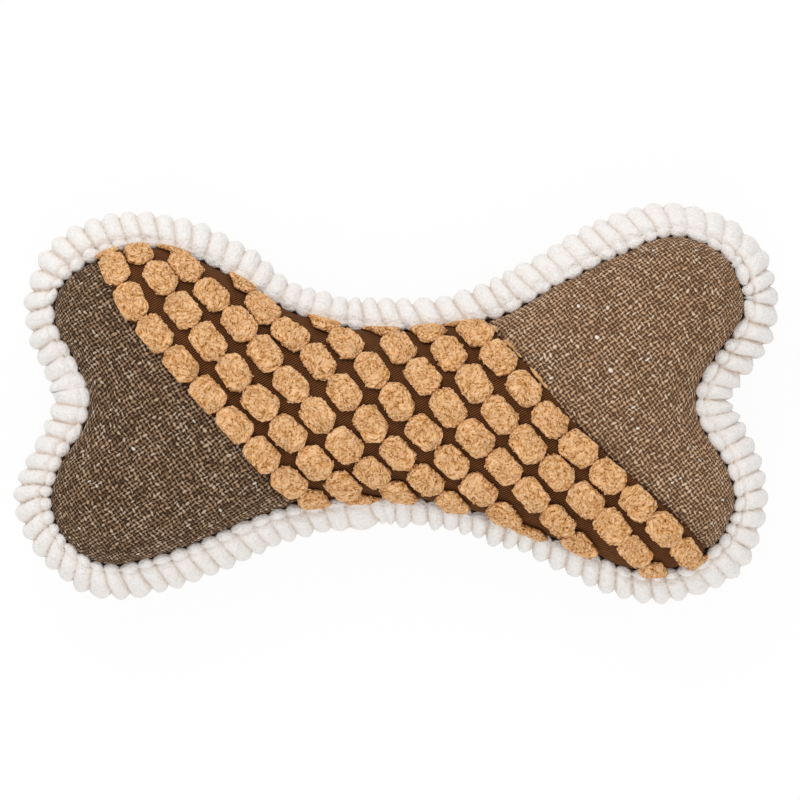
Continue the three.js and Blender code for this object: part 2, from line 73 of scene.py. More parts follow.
# The border, from readings made on the photograph, counter-clockwise from the right notch: share
# of the plain outline's length, how far outside that outline the seam lies in millimetres, less what the
# plush hides of it, and how deep the fold over a rib's inner end is
SEAM_READINGS = (
    (0, -0.5, 0.8), (0.01, -0.2, 0.8), (0.02, 0.7, 0.9), (0.03, 0.2, 1), (0.04, -0.6, 0.9),
    (0.048, 0.3, 0.7), (0.055, -0.6, 0.7), (0.063, -2.2, 1), (0.072, -2.7, 1), (0.085, -1.3, 1),
    (0.1, -0.6, 0.7), (0.112, 0.2, 0.6), (0.125, -0.9, 0.5), (0.14, -2.5, 0.6), (0.155, -2.7, 0.9),
    (0.165, -2.6, 0.4), (0.175, -2.6, 0.5), (0.195, -2.9, 0.35), (0.21, -3, 0.1), (0.225, -2.3, 0.05),
    (0.245, -2.1, 0.05), (0.265, -2.3, 0.2), (0.272, -2.1, 0.4), (0.28, -1.8, 0.4), (0.295, -1.2, 0.3),
    (0.33, -0.5, 0.2), (0.345, 0.3, 0.3), (0.37, 0.2, 0.1), (0.39, 0, 0.4), (0.405, -1.8, 0.6),
    (0.413, -2.5, 1), (0.42, -3, 0.9), (0.435, -2.4, 1), (0.445, -1, 0.8), (0.46, -0.2, 0.6),
    (0.475, 0, 0.7), (0.49, -0.2, 0.5), (0.502, -1.6, 0.2), (0.514, -3.7, 0.5), (0.522, -3.6, 1),
    (0.53, -3.5, 1), (0.545, -2.9, 0.9), (0.56, -2.2, 0.9), (0.58, -2.5, 0.7), (0.597, -1.7, 0.7),
    (0.61, -1.2, 0.3), (0.622, -3.2, 0.7), (0.64, -4.1, 0.8), (0.66, -4.7, 0.6), (0.685, -4.7, 0.8),
    (0.7, -3.7, 0.8), (0.715, -2.2, 0.8), (0.73, -1.2, 0.6), (0.742, -1.2, 0.4), (0.752, -1.5, 0.1),
    (0.762, -1.4, 0), (0.78, -1.2, 0), (0.8, -1.9, 0), (0.815, -2.7, 0), (0.83, -2.7, 0),
    (0.848, -3.5, 0.1), (0.86, -2.4, 0.2), (0.873, -0.3, 0.6), (0.883, 0.3, 1), (0.888, 0.5, 0.9),
    (0.905, 0.2, 1), (0.92, -1.9, 0.9), (0.935, -2, 0.9), (0.95, 0, 0.8), (0.965, 0.9, 0.7),
    (0.982, 0.3, 0.8), (1, -0.5, 0.6),
)
# Its ribs, also from readings: where the groove before each rib has its outer end and its inner
# end, in ten thousandths of the plain outline's length, how deep that groove is, in tenths of the usual
# depth, and how far outside the plain outline the rib reaches, in tenths of a millimetre, with 0.7 mm added
# to what was read
RIB_READINGS = (
    (44, 31, 11, 146), (142, 119, 8, 164), (300, 242, 13, 154), (381, 324, 13, 155), (448, 399, 14, 157),
    (523, 496, 13, 142), (592, 597, 10, 127), (650, 612, 11, 125), (708, 681, 10, 130),
    (780, 780, 5, 127), (849, 809, 7, 132), (933, 903, 7, 132), (1015, 982, 7, 131), (1094, 1070, 6, 133),
    (1175, 1141, 8, 140), (1253, 1205, 9, 139), (1327, 1276, 8, 139), (1419, 1357, 9, 141),
    (1488, 1438, 10, 141), (1566, 1529, 10, 134), (1655, 1618, 8, 124), (1746, 1707, 8, 120),
    (1829, 1798, 10, 126), (1922, 1884, 9, 129), (1997, 1976, 11, 124), (2085, 2065, 11, 121),
    (2193, 2152, 12, 116), (2302, 2255, 12, 106), (2401, 2358, 12, 109), (2516, 2469, 11, 112),
    (2603, 2560, 10, 116), (2701, 2654, 10, 117), (2785, 2755, 11, 112), (2858, 2846, 10, 104),
    (2943, 2937, 8, 112), (3040, 3032, 8, 109), (3118, 3111, 8, 106), (3206, 3201, 10, 111),
    (3300, 3291, 9, 124), (3385, 3377, 8, 138), (3473, 3464, 9, 142), (3566, 3542, 9, 145),
    (3652, 3630, 10, 149), (3735, 3701, 10, 148), (3825, 3775, 10, 141), (3904, 3857, 10, 140),
    (3978, 3935, 10, 138), (4046, 4007, 10, 138), (4117, 4087, 10, 138), (4188, 4160, 12, 142),
    (4257, 4238, 12, 143), (4330, 4310, 12, 138), (4408, 4395, 13, 122), (4482, 4459, 14, 128),
    (4553, 4535, 13, 125), (4620, 4610, 13, 131), (4686, 4684, 12, 135), (4776, 4772, 9, 137),
    (4873, 4866, 8, 149), (4954, 4967, 5, 147), (5111, 5074, 10, 120), (5207, 5155, 12, 113),
    (5293, 5246, 11, 104), (5372, 5340, 11, 115), (5451, 5425, 11, 125), (5517, 5495, 12, 133),
    (5583, 5546, 12, 132), (5662, 5613, 11, 125), (5734, 5690, 11, 115), (5803, 5761, 10, 114),
    (5868, 5839, 10, 115), (5940, 5923, 9, 125), (6008, 5996, 10, 128), (6095, 6055, 10, 127),
    (6170, 6125, 11, 119), (6267, 6209, 11, 110), (6344, 6297, 10, 113), (6426, 6383, 10, 108),
    (6516, 6469, 10, 104), (6595, 6554, 10, 106), (6682, 6642, 9, 100), (6772, 6731, 9, 102),
    (6857, 6821, 8, 92), (6933, 6913, 9, 100), (7016, 7001, 10, 108), (7113, 7092, 10, 109),
    (7206, 7189, 10, 121), (7313, 7293, 10, 124), (7473, 7421, 12, 99), (7512, 7480, 6, 105),
    (7561, 7551, 11, 113), (7649, 7630, 10, 95), (7738, 7711, 12, 105), (7815, 7790, 11, 86),
    (7896, 7880, 11, 90), (7969, 7943, 10, 84), (8043, 8031, 15, 96), (8135, 8121, 14, 82),
    (8206, 8199, 12, 74), (8287, 8270, 14, 82), (8381, 8362, 12, 89), (8469, 8451, 12, 88),
    (8554, 8536, 11, 107), (8640, 8620, 11, 117), (8721, 8704, 12, 126), (8797, 8780, 12, 139),
    (8884, 8868, 12, 143), (8960, 8933, 10, 138), (9034, 9007, 10, 140), (9116, 9084, 9, 141),
    (9187, 9165, 9, 145), (9245, 9236, 9, 140), (9305, 9301, 10, 131), (9377, 9364, 11, 128),
    (9453, 9435, 10, 135), (9516, 9509, 10, 146), (9583, 9580, 10, 154), (9664, 9665, 10, 157),
    (9733, 9741, 10, 161), (9815, 9839, 9, 164), (9903, 9930, 8, 153),
)
# The band's two seams from the top edge to the bottom edge
LEFT_SEAM_SHARES = (
    (-0.841, 0.843), (-0.779, 0.571), (-0.636, 0.202), (-0.493, -0.136), (-0.35, -0.474), (-0.279, -0.643),
)
RIGHT_SEAM_SHARES = (
    (0.257, 0.48), (0.364, 0.236), (0.507, -0.127), (0.65, -0.414), (0.793, -0.686), (0.884, -0.885),
)


# Steady noise, from the places alone

ALL_BITS = 0xFFFFFFFF
AXIS_STEPS = (73856093, 19349663, 83492791, 2971215073)  # large odd numbers that scatter neighbouring cells
SEED_STEP = 668265263
MIXING = ((15, 2246822519), (13, 3266489917))  # shifts in bits, each with what it is multiplied by
LAST_SHIFT = 16


def lattice(cells: Array, seed: int) -> Array:
    """Numbers from 0 to 1 that look random but always are the same.

    Args:
        cells: whole-number places, one row each.
        seed: which set of numbers.

    Returns:
        One number for each row.
    """
    steps = np.array(AXIS_STEPS, dtype=np.uint32)[: cells.shape[-1]]
    mixed = (cells.astype(np.int64).astype(np.uint32) * steps).sum(-1, dtype=np.uint32)
    mixed = mixed + np.uint32((seed * SEED_STEP) & ALL_BITS)
    for shift, factor in MIXING:
        mixed = (mixed ^ (mixed >> np.uint32(shift))) * np.uint32(factor)
    return (mixed ^ (mixed >> np.uint32(LAST_SHIFT))) / float(ALL_BITS)


def noise(points: Array, size: float, seed: int) -> Array:
    """Smooth noise from -1 to 1.

    Args:
        points: places, one row each.
        size: how wide its features are, in the points' unit.
        seed: which noise.

    Returns:
        One number for each row.
    """
    place = points / size
    low = np.floor(place)
    part = place - low
    part = part * part * (3 - 2 * part)
    total = np.zeros(len(points))
    for corner in np.ndindex(*(2,) * points.shape[-1]):
        weight = np.prod(np.where(corner, part, 1 - part), axis=-1)
        total += weight * lattice(low + corner, seed)
    return 2 * total - 1


def ramp_up(value: Array, start: float, end: float) -> Array:
    """0 before start and 1 after end, with a smooth rise between."""
    share = np.clip((value - start) / (end - start), 0, 1)
    return share * share * (3 - 2 * share)


def through(points: Array, closed: bool = False, steps: int = 24) -> Array:
    """A smooth curve through points, rounder where they are close.

    Args:
        points: what it passes through, one row each.
        closed: whether it joins up on itself.
        steps: how many stretches lie between two points.

    Returns:
        Points along it.
    """
    count = len(points)
    around = np.vstack([2 * points[0] - points[1], points, 2 * points[-1] - points[-2]])
    spans = np.arange(count if closed else count - 1)

    def pick(shift: int) -> Array:
        return points[(spans + shift) % count] if closed else around[spans + shift + 1]

    before, start, end, after = (pick(shift)[:, None, :] for shift in (-1, 0, 1, 2))
    gaps = [np.sqrt(np.linalg.norm(b - a, axis=-1, keepdims=True)) for a, b in
            ((before, start), (start, end), (end, after))]
    leave = ((start - before) / gaps[0] - (end - before) / (gaps[0] + gaps[1])
             + (end - start) / gaps[1]) * gaps[1]
    reach = ((end - start) / gaps[1] - (after - start) / (gaps[1] + gaps[2])
             + (after - end) / gaps[2]) * gaps[1]
    t = (np.arange(steps) / steps)[None, :, None]
    curve = (start + leave * t + (3 * end - 3 * start - 2 * leave - reach) * t**2
             + (2 * start - 2 * end + leave + reach) * t**3)
    curve = curve.reshape(-1, points.shape[1])
    return curve if closed else np.vstack([curve, points[-1:]])


def walked(points: Array) -> Array:
    """The length passed at each point of a line, from its first."""
    return np.concatenate([[0.0], np.cumsum(np.linalg.norm(np.diff(points, axis=0), axis=1))])


def along(points: Array, lengths: Array, at: Array) -> Array:
    """Points of a line at given lengths along it."""
    return np.stack([np.interp(at, lengths, column) for column in points.T], axis=-1)


# Meshes from bmesh shapes


def grid_shape(columns: int, rows: int, size: tuple[float, float] = (1.0, 1.0)) -> bmesh.types.BMesh:
    """A flat grid from the origin to size, with so many faces each way."""
    shape = bmesh.new()
    half = Vector((size[0] / 2, size[1] / 2, 0))
    place = Matrix.LocRotScale(half, None, Vector((size[0] / 2, size[1] / 2, 1)))
    bmesh.ops.create_grid(shape, x_segments=columns, y_segments=rows, size=1.0, matrix=place)
    return shape


def finish_shape(shape: bmesh.types.BMesh, name: str) -> bpy.types.Mesh:
    """Writes a bmesh to a new mesh of a name, and frees it."""
    mesh = bpy.data.meshes.new(name)
    shape.to_mesh(mesh)
    shape.free()
    return mesh


def read_places(mesh: bpy.types.Mesh) -> Array:
    """The places of a mesh's vertices, one row each."""
    places = np.empty(len(mesh.vertices) * 3)
    mesh.vertices.foreach_get("co", places)
    return places.reshape(-1, 3)


def write_places(mesh: bpy.types.Mesh, places: Array) -> None:
    """Moves a mesh's vertices to new places, given in millimetres."""
    mesh.vertices.foreach_set("co", (places * MM).ravel())
    mesh.update()


def write_uv(mesh: bpy.types.Mesh, uv: Array) -> None:
    """Gives a mesh its UV map, from one pair of numbers for each vertex."""
    corners = np.empty(len(mesh.loops), dtype=np.int64)
    mesh.loops.foreach_get("vertex_index", corners)
    mesh.uv_layers.new(name="UVMap").data.foreach_set("uv", uv[corners].ravel())


def write_attribute(mesh: bpy.types.Mesh, name: str, values: Array) -> None:
    """Gives a mesh a named number at each vertex."""
    layer = mesh.attributes.new(name, "FLOAT", "POINT")
    layer.data.foreach_set("value", values.astype(np.float32))


def close_seams(mesh: bpy.types.Mesh) -> None:
    """Merges the points that meet where a grid was rolled up, and turns its faces outwards."""
    shape = bmesh.new()
    shape.from_mesh(mesh)
    bmesh.ops.remove_doubles(shape, verts=shape.verts, dist=1e-7)
    bmesh.ops.dissolve_degenerate(shape, edges=shape.edges, dist=1e-7)
    bmesh.ops.recalc_face_normals(shape, faces=shape.faces)
    shape.to_mesh(mesh)
    shape.free()


def smooth_faces(mesh: bpy.types.Mesh) -> None:
    """Shades every face smooth."""
    mesh.polygons.foreach_set("use_smooth", [True] * len(mesh.polygons))


# Shader maths


class Num:
    """A number socket of a node tree that can stand in a Python sum."""

    def __init__(self, nodes: "Nodes", socket: bpy.types.NodeSocket) -> None:
        """Keeps the socket and the tree it is in."""
        self.nodes = nodes
        self.socket = socket

    def math(self, operation: str, *others: "Num | float", first: "Num | float | None" = None) -> "Num":
        """The outcome of a Math node.

        Args:
            operation: the node's operation.
            others: its values after this one.
            first: a value that goes before this one instead.

        Returns:
            Its result.
        """
        values = [self, *others] if first is None else [first, self]
        node = self.nodes.add("ShaderNodeMath", {"operation": operation}, dict(enumerate(values)))
        return Num(self.nodes, node.outputs[0])

    def __add__(self, other: "Num | float") -> "Num":
        """Sum."""
        return self.math("ADD", other)

    __radd__ = __add__

    def __sub__(self, other: "Num | float") -> "Num":
        """Difference."""
        return self.math("SUBTRACT", other)

    def __rsub__(self, other: float) -> "Num":
        """Difference, this one taken away."""
        return self.math("SUBTRACT", first=other)

    def __mul__(self, other: "Num | float") -> "Num":
        """Product."""
        return self.math("MULTIPLY", other)

    __rmul__ = __mul__

    def __truediv__(self, other: "Num | float") -> "Num":
        """Quotient."""
        return self.math("DIVIDE", other)

    def floor(self) -> "Num":
        """Whole number below."""
        return self.math("FLOOR")

    def fraction(self) -> "Num":
        """What is over the whole number below."""
        return self.math("FRACT")

    def cosine(self) -> "Num":
        """Cosine of an angle in radians."""
        return self.math("COSINE")

    def larger(self, other: "Num | float") -> "Num":
        """The larger of the two."""
        return self.math("MAXIMUM", other)

    def above(self, other: "Num | float") -> "Num":
        """1 where this is the larger, and else 0."""
        return self.math("GREATER_THAN", other)

    def rise(self, start: float, end: float) -> "Num":
        """0 before start and 1 after end, with a smooth rise between."""
        node = self.nodes.add("ShaderNodeMapRange", {"interpolation_type": "SMOOTHSTEP", "clamp": True},
                              {"Value": self, "From Min": start, "From Max": end})
        return Num(self.nodes, node.outputs[0])


Colour = tuple[float, float, float]


class Nodes:
    """One material and the nodes in it."""

    def __init__(self, name: str) -> None:
        """Starts an empty material of a name."""
        self.material = bpy.data.materials.new(name)
        self.material.use_nodes = True
        self.tree = self.material.node_tree
        self.tree.nodes.clear()

    def add(self, kind: str, settings: dict | None = None, values: dict | None = None) -> bpy.types.Node:
        """Adds a node.

        Args:
            kind: its type.
            settings: its own settings, such as an operation, or a ramp's stops.
            values: a number, colour or link for each of its sockets.

        Returns:
            The node.
        """
        node = self.tree.nodes.new(kind)
        for key, value in (settings or {}).items():
            if key == "stops":
                elements = node.color_ramp.elements
                while len(elements) < len(value):
                    elements.new(0.5)
                for element, (place, colour) in zip(elements, value):
                    element.position = place
                    element.color = (*colour, 1)
            else:
                setattr(node, key, value)
        for key, value in (values or {}).items():
            if isinstance(value, Num):
                self.tree.links.new(value.socket, node.inputs[key])
            elif isinstance(value, bpy.types.NodeSocket):
                self.tree.links.new(value, node.inputs[key])
            elif isinstance(value, tuple) and len(value) == 3 and node.inputs[key].type == "RGBA":
                node.inputs[key].default_value = (*value, 1)
            else:
                node.inputs[key].default_value = value
        return node

    def number(self, kind: str, settings: dict | None = None, values: dict | None = None,
               out: str | int = 0) -> Num:
        """A number that a new node gives out."""
        return Num(self, self.add(kind, settings, values).outputs[out])

    def place(self) -> bpy.types.NodeSocket:
        """The point on the piece, in metres."""
        return self.add("ShaderNodeTexCoord").outputs["Object"]

    def cloth_place(self) -> bpy.types.NodeSocket:
        """The point on the cloth, from the piece's own UV map."""
        return self.add("ShaderNodeTexCoord").outputs["UV"]

    def split(self, vector: bpy.types.NodeSocket) -> tuple[Num, Num, Num]:
        """The three numbers of a vector."""
        node = self.add("ShaderNodeSeparateXYZ", None, {0: vector})
        return Num(self, node.outputs[0]), Num(self, node.outputs[1]), Num(self, node.outputs[2])

    def join(self, x: Num | float, y: Num | float, z: Num | float = 0.0) -> bpy.types.NodeSocket:
        """A vector of three numbers."""
        return self.add("ShaderNodeCombineXYZ", None, {0: x, 1: y, 2: z}).outputs[0]

    def grain(self, vector: bpy.types.NodeSocket, scale: float, detail: float = 2.0) -> Num:
        """Noise from 0 to 1, with so many features in a unit."""
        return self.number("ShaderNodeTexNoise", None, {"Vector": vector, "Scale": scale, "Detail": detail})

    def chance(self, number: Num) -> Num:
        """A random number from 0 to 1 for each whole number."""
        return self.number("ShaderNodeTexWhiteNoise", {"noise_dimensions": "1D"}, {"W": number})

    def tone(self, factor: Num, *stops: tuple[float, Colour]) -> bpy.types.NodeSocket:
        """A colour from a ramp."""
        return self.add("ShaderNodeValToRGB", {"stops": stops}, {0: factor}).outputs[0]

    def blend(self, factor: Num | float, first: object, second: object) -> bpy.types.NodeSocket:
        """A colour between two others."""
        node = self.add("ShaderNodeMix", {"data_type": "RGBA"}, {0: factor, 6: first, 7: second})
        return node.outputs[2]

    def mix(self, factor: Num, first: Num | float, second: Num | float) -> Num:
        """A number between two others."""
        return self.number("ShaderNodeMix", {"data_type": "FLOAT"}, {0: factor, 2: first, 3: second})

    def bump(self, height: Num, depth: float) -> bpy.types.NodeSocket:
        """Relief of a depth in metres."""
        values = {"Strength": 1.0, "Distance": depth, "Height": height}
        return self.add("ShaderNodeBump", None, values).outputs[0]

    def surface(self, colour: object, roughness: Num | float, normal: bpy.types.NodeSocket,
                constants: dict | None = None) -> bpy.types.Material:
        """Ends the material in its surface shader.

        Args:
            colour: its base colour.
            roughness: its roughness.
            normal: its relief.
            constants: other sockets of the shader that are the same all over.

        Returns:
            The material.
        """
        values = {"Base Color": colour, "Roughness": roughness, "Normal": normal, **(constants or {})}
        shader = self.add("ShaderNodeBsdfPrincipled", None, values)
        self.add("ShaderNodeOutputMaterial", None, {0: shader.outputs[0]})
        return self.material


@dataclass(frozen=True)
class Burlap:
    """Coarse plain weave of brown yarns that vary along their length, with painted shade where they dip under
    each other and in the gaps between them; the UV map counts yarns.
    """

    name: str = "burlap_weave"
    thick: float = 0.6  # of the room that each yarn has
    light: float = 1.0
    wander: float = 1.45  # the span within which yarns stray from straight
    weft_seed: int = 517
    # painted shade: the colour that low yarns and the gaps between them go towards
    gap: Colour = (0.034, 0.018, 0.010)
    stops: tuple[tuple[float, Colour], ...] = (
        (0.0, (0.070, 0.036, 0.018)), (0.3, (0.145, 0.080, 0.042)), (0.55, (0.310, 0.184, 0.102)),
        (0.8, (0.520, 0.335, 0.200)), (1.0, (0.78, 0.70, 0.60)),
    )

    def toned(self) -> tuple[tuple[float, Colour], ...]:
        """The yarns' colours at this cloth's lightness."""
        return tuple((place, tuple(part * self.light ** (1 - 0.85 * place) for part in colour))
                     for place, colour in self.stops)

    def material(self) -> bpy.types.Material:
        """Makes the material."""
        nodes = Nodes(self.name)
        cloth = nodes.cloth_place()
        u, v, _ = nodes.split(cloth)
        u = u + (nodes.grain(cloth, 0.36, 1.0) - 0.5) * self.wander
        v = v + (nodes.grain(cloth, 0.3, 1.0) - 0.5) * self.wander
        across_u = (u.fraction() - 0.5) * 2
        across_v = (v.fraction() - 0.5) * 2
        turn = ((u.floor() + v.floor()).math("FLOORED_MODULO", 2.0) - 0.5) * 2
        quarter = TURN / 4
        warp_over = turn * (across_v * quarter).cosine()
        weft_over = turn * (across_u * quarter).cosine() * -1.0
        warp = self.yarn_height(nodes, u.floor(), v, across_u, warp_over)
        weft = self.yarn_height(nodes, v.floor() + self.weft_seed, u, across_v, weft_over)
        top = warp.larger(weft)
        is_warp = warp.above(weft)
        warp_shade = self.yarn_shade(nodes, u.floor(), v)
        weft_shade = self.yarn_shade(nodes, v.floor() + self.weft_seed, u)
        shade = nodes.mix(is_warp, weft_shade, warp_shade)
        own = nodes.chance(u.floor() * 57 + v.floor())
        # a float in about 150 is made lighter still: a painted glint
        shade = (shade + (own - 0.5) * 0.35).math("MINIMUM", 0.86) + own.above(0.993) * 0.2
        twist = nodes.mix(is_warp, across_v + across_u * 1.6, across_u + across_v * 1.6)
        strands = (twist * 6.0).cosine() * 0.5 + 0.5
        # the twist's strands are a little lighter on their ridges, where the relief rises too: painted light
        colour = nodes.tone(shade + (strands - 0.5) * 0.12, *self.toned())
        # painted shade: where the yarns lie low and in the gaps the colour goes to the gap colour, so the crowns
        # stay lighter
        colour = nodes.blend(top.rise(1.1, 3.0), tuple(part * self.light for part in self.gap), colour)
        relief = nodes.bump(top + strands * 0.2, 0.0004)
        return nodes.surface(colour, 0.8, relief, {"Specular IOR Level": 0.12})

    def yarn_height(self, nodes: Nodes, yarn: Num, length: Num, across: Num, over: Num) -> Num:
        """A yarn's height: round across, up where it lies over the other, and 0 where there is no yarn."""
        slub = nodes.grain(nodes.join(length * 0.4, yarn * 3.17, 7.0), 1.0, 1.0) - 0.5
        side = across / (slub * 0.9 + self.thick)
        round_top = 1 - side * side
        return round_top.rise(0.0, 0.3) * (round_top + over * 0.9 + 1.2)

    def yarn_shade(self, nodes: Nodes, yarn: Num, length: Num) -> Num:
        """How light a yarn is, which changes from yarn to yarn and along each."""
        own = nodes.chance(yarn)
        run = nodes.grain(nodes.join(length * 0.22, yarn * 7.31, own * 9.0), 1.0, 2.0)
        flecks = nodes.grain(nodes.join(length * 0.6, yarn * 5.17, 3.0), 1.0, 1.0)
        return own * 0.1 + run * 1.1 + flecks * 0.95 - 0.46


@dataclass(frozen=True)
class Knit:
    """Fine chocolate-brown knit; the UV map is in millimetres, with the wales along V."""

    wale: float = 0.84
    course: float = 0.9
    lean: float = 0.9  # slant of a loop's sides
    deep: Colour = (0.036, 0.0120, 0.0035)
    lit: Colour = (0.250, 0.095, 0.031)

    def material(self) -> bpy.types.Material:
        """Makes the material."""
        nodes = Nodes("band_knit")
        cloth = nodes.cloth_place()
        u, v, _ = nodes.split(cloth)
        slant = ((u / self.wale).fraction() - 0.5).math("ABSOLUTE")
        wales = (u * (TURN / self.wale)).cosine() * 0.5 + 0.5
        courses = ((v + slant * self.lean) * (TURN / self.course)).cosine() * 0.5 + 0.5
        loops = wales * (courses * 0.35 + 0.65)
        cloudy = nodes.grain(cloth, 0.35, 3.0)
        colour = nodes.blend(loops * 1.1 + (cloudy - 0.5) * 0.4 - 0.05, self.deep, self.lit)
        relief = nodes.bump(loops, 0.0003)
        return nodes.surface(colour, 0.9, relief, {"Specular IOR Level": 0.12})


@dataclass(frozen=True)
class Pile:
    """Curly tan pile with painted shade in its crevices, low down and underneath; an attribute per point runs
    from 0 in the deepest painted shade to 1 where the pile is lit.
    """

    stops: tuple[tuple[float, Colour], ...] = (
        (0.0, (0.170, 0.055, 0.010)), (0.3, (0.480, 0.205, 0.056)), (0.6, (0.790, 0.408, 0.155)),
        (1.0, (0.950, 0.605, 0.335)),
    )

    def material(self) -> bpy.types.Material:
        """Makes the material."""
        nodes = Nodes("curly_pile")
        place = nodes.place()
        tip = nodes.number("ShaderNodeAttribute", {"attribute_name": "tip"}, None, "Fac")
        patch = nodes.grain(place, 260.0, 2.0)
        fleck = nodes.grain(place, 1500.0, 2.0)
        u, v, _ = nodes.split(nodes.cloth_place())
        stray = nodes.grain(place, 700.0, 1.0) - 0.5
        strand = nodes.grain(nodes.join(u * 1.1 + stray * 2.0, v * 1.8 + stray * 2.8), 1.0, 2.0)
        # painted shade from the attribute, and darker between the strands, where the relief dips too; patch and
        # fleck vary the pile's own tone
        tone = tip * 1.25 + (patch - 0.5) * 0.25 + (fleck - 0.5) * 0.15 + (strand - 0.5) * 1.8 - 0.21
        colour = nodes.tone(tone, *self.stops)
        relief = nodes.bump(strand + fleck * 0.2, 0.0012)
        return nodes.surface(colour, 0.9, relief, {"Specular IOR Level": 0.15})


@dataclass(frozen=True)
class Plush:
    """Short white plush with painted shade in its grooves; its attribute is 1 in the bottom of the grooves
    between ribs, and higher still in the crease along each seam.
    """

    crest: Colour = (0.880, 0.845, 0.815)
    # painted shade, for the grooves, the folds across the ribs and the crease at each seam
    shade_colour: Colour = (0.760, 0.640, 0.545)

    def material(self) -> bpy.types.Material:
        """Makes the material."""
        nodes = Nodes("ribbed_plush")
        place = nodes.place()
        groove = nodes.number("ShaderNodeAttribute", {"attribute_name": "groove"}, None, "Fac")
        nap = nodes.grain(place, 1700.0, 2.0)
        tufts = nodes.grain(place, 800.0, 2.0)
        brushed = nodes.grain(place, 330.0, 2.0)
        # painted shade from the attribute, a little uneven with the brushed lie and the tufts
        depth = groove + (brushed - 0.5) * 0.3 + (tufts - 0.5) * 0.3
        colour = nodes.blend(depth.rise(0.2, 0.95), self.crest, self.shade_colour)
        # darker between the tufts, where the relief dips: partly the plush's own mottling, partly painted shade
        colour = nodes.blend((1 - tufts).rise(0.45, 0.75) * 0.35, colour, self.shade_colour)
        relief = nodes.bump(brushed * 0.8 + tufts * 0.7 + nap * 0.3, 0.0011)
        return nodes.surface(colour, 0.95, relief, {"Sheen Weight": 0.2, "Sheen Roughness": 0.7,
                                                    "Specular IOR Level": 0.2})


@dataclass(frozen=True)
class Thread:
    """Dark twisted sewing thread; the UV map runs along it and round it."""

    name: str = "sewing_thread"
    base: Colour = (0.010, 0.006, 0.004)
    lit: Colour = (0.045, 0.028, 0.021)

    def material(self) -> bpy.types.Material:
        """Makes the material."""
        nodes = Nodes(self.name)
        u, v, _ = nodes.split(nodes.cloth_place())
        strand = ((u * 2.4 + v * 3) * TURN).cosine() * 0.5 + 0.5
        fuzz = nodes.grain(nodes.place(), 2600.0, 2.0)
        colour = nodes.blend(strand * 0.7 + (fuzz - 0.5) * 0.8, self.base, self.lit)
        relief = nodes.bump(strand + fuzz * 0.4, 0.00016)
        return nodes.surface(colour, 0.85, relief, {"Specular IOR Level": 0.1})


@dataclass(frozen=True)
class Fibre:
    """Loose white polyester fibre."""

    def material(self) -> bpy.types.Material:
        """Makes the material."""
        nodes = Nodes("filling_fibre")
        place = nodes.place()
        strands = nodes.grain(place, 420.0, 6.0)
        tufts = nodes.grain(place, 60.0, 3.0)
        colour = nodes.blend(strands * 0.6 + tufts * 0.4, (0.62, 0.61, 0.58), (0.9, 0.895, 0.87))
        relief = nodes.bump(strands, 0.0008)
        return nodes.surface(colour, 0.95, relief, {"Sheen Weight": 0.3})


@dataclass(frozen=True)
class MouldedPlastic:
    """Milky moulded plastic with a fine satin grain."""

    name: str
    base: Colour
    worn: Colour
    roughness: float

    def material(self) -> bpy.types.Material:
        """Makes the material."""
        nodes = Nodes(self.name)
        place = nodes.place()
        cloud = nodes.grain(place, 90.0, 3.0)
        satin = nodes.grain(place, 3000.0, 2.0)
        colour = nodes.blend(cloud, self.base, self.worn)
        relief = nodes.bump(satin, 0.00003)
        return nodes.surface(colour, cloud * 0.15 + self.roughness, relief, {"Subsurface Weight": 0.1})


# The toy's own shape


class Side(Enum):
    """Which of the toy's two faces."""

    FRONT = 1
    BACK = -1


class Reading(Enum):
    """What was read off along the border."""

    SEAM = 0
    FOLD = 1


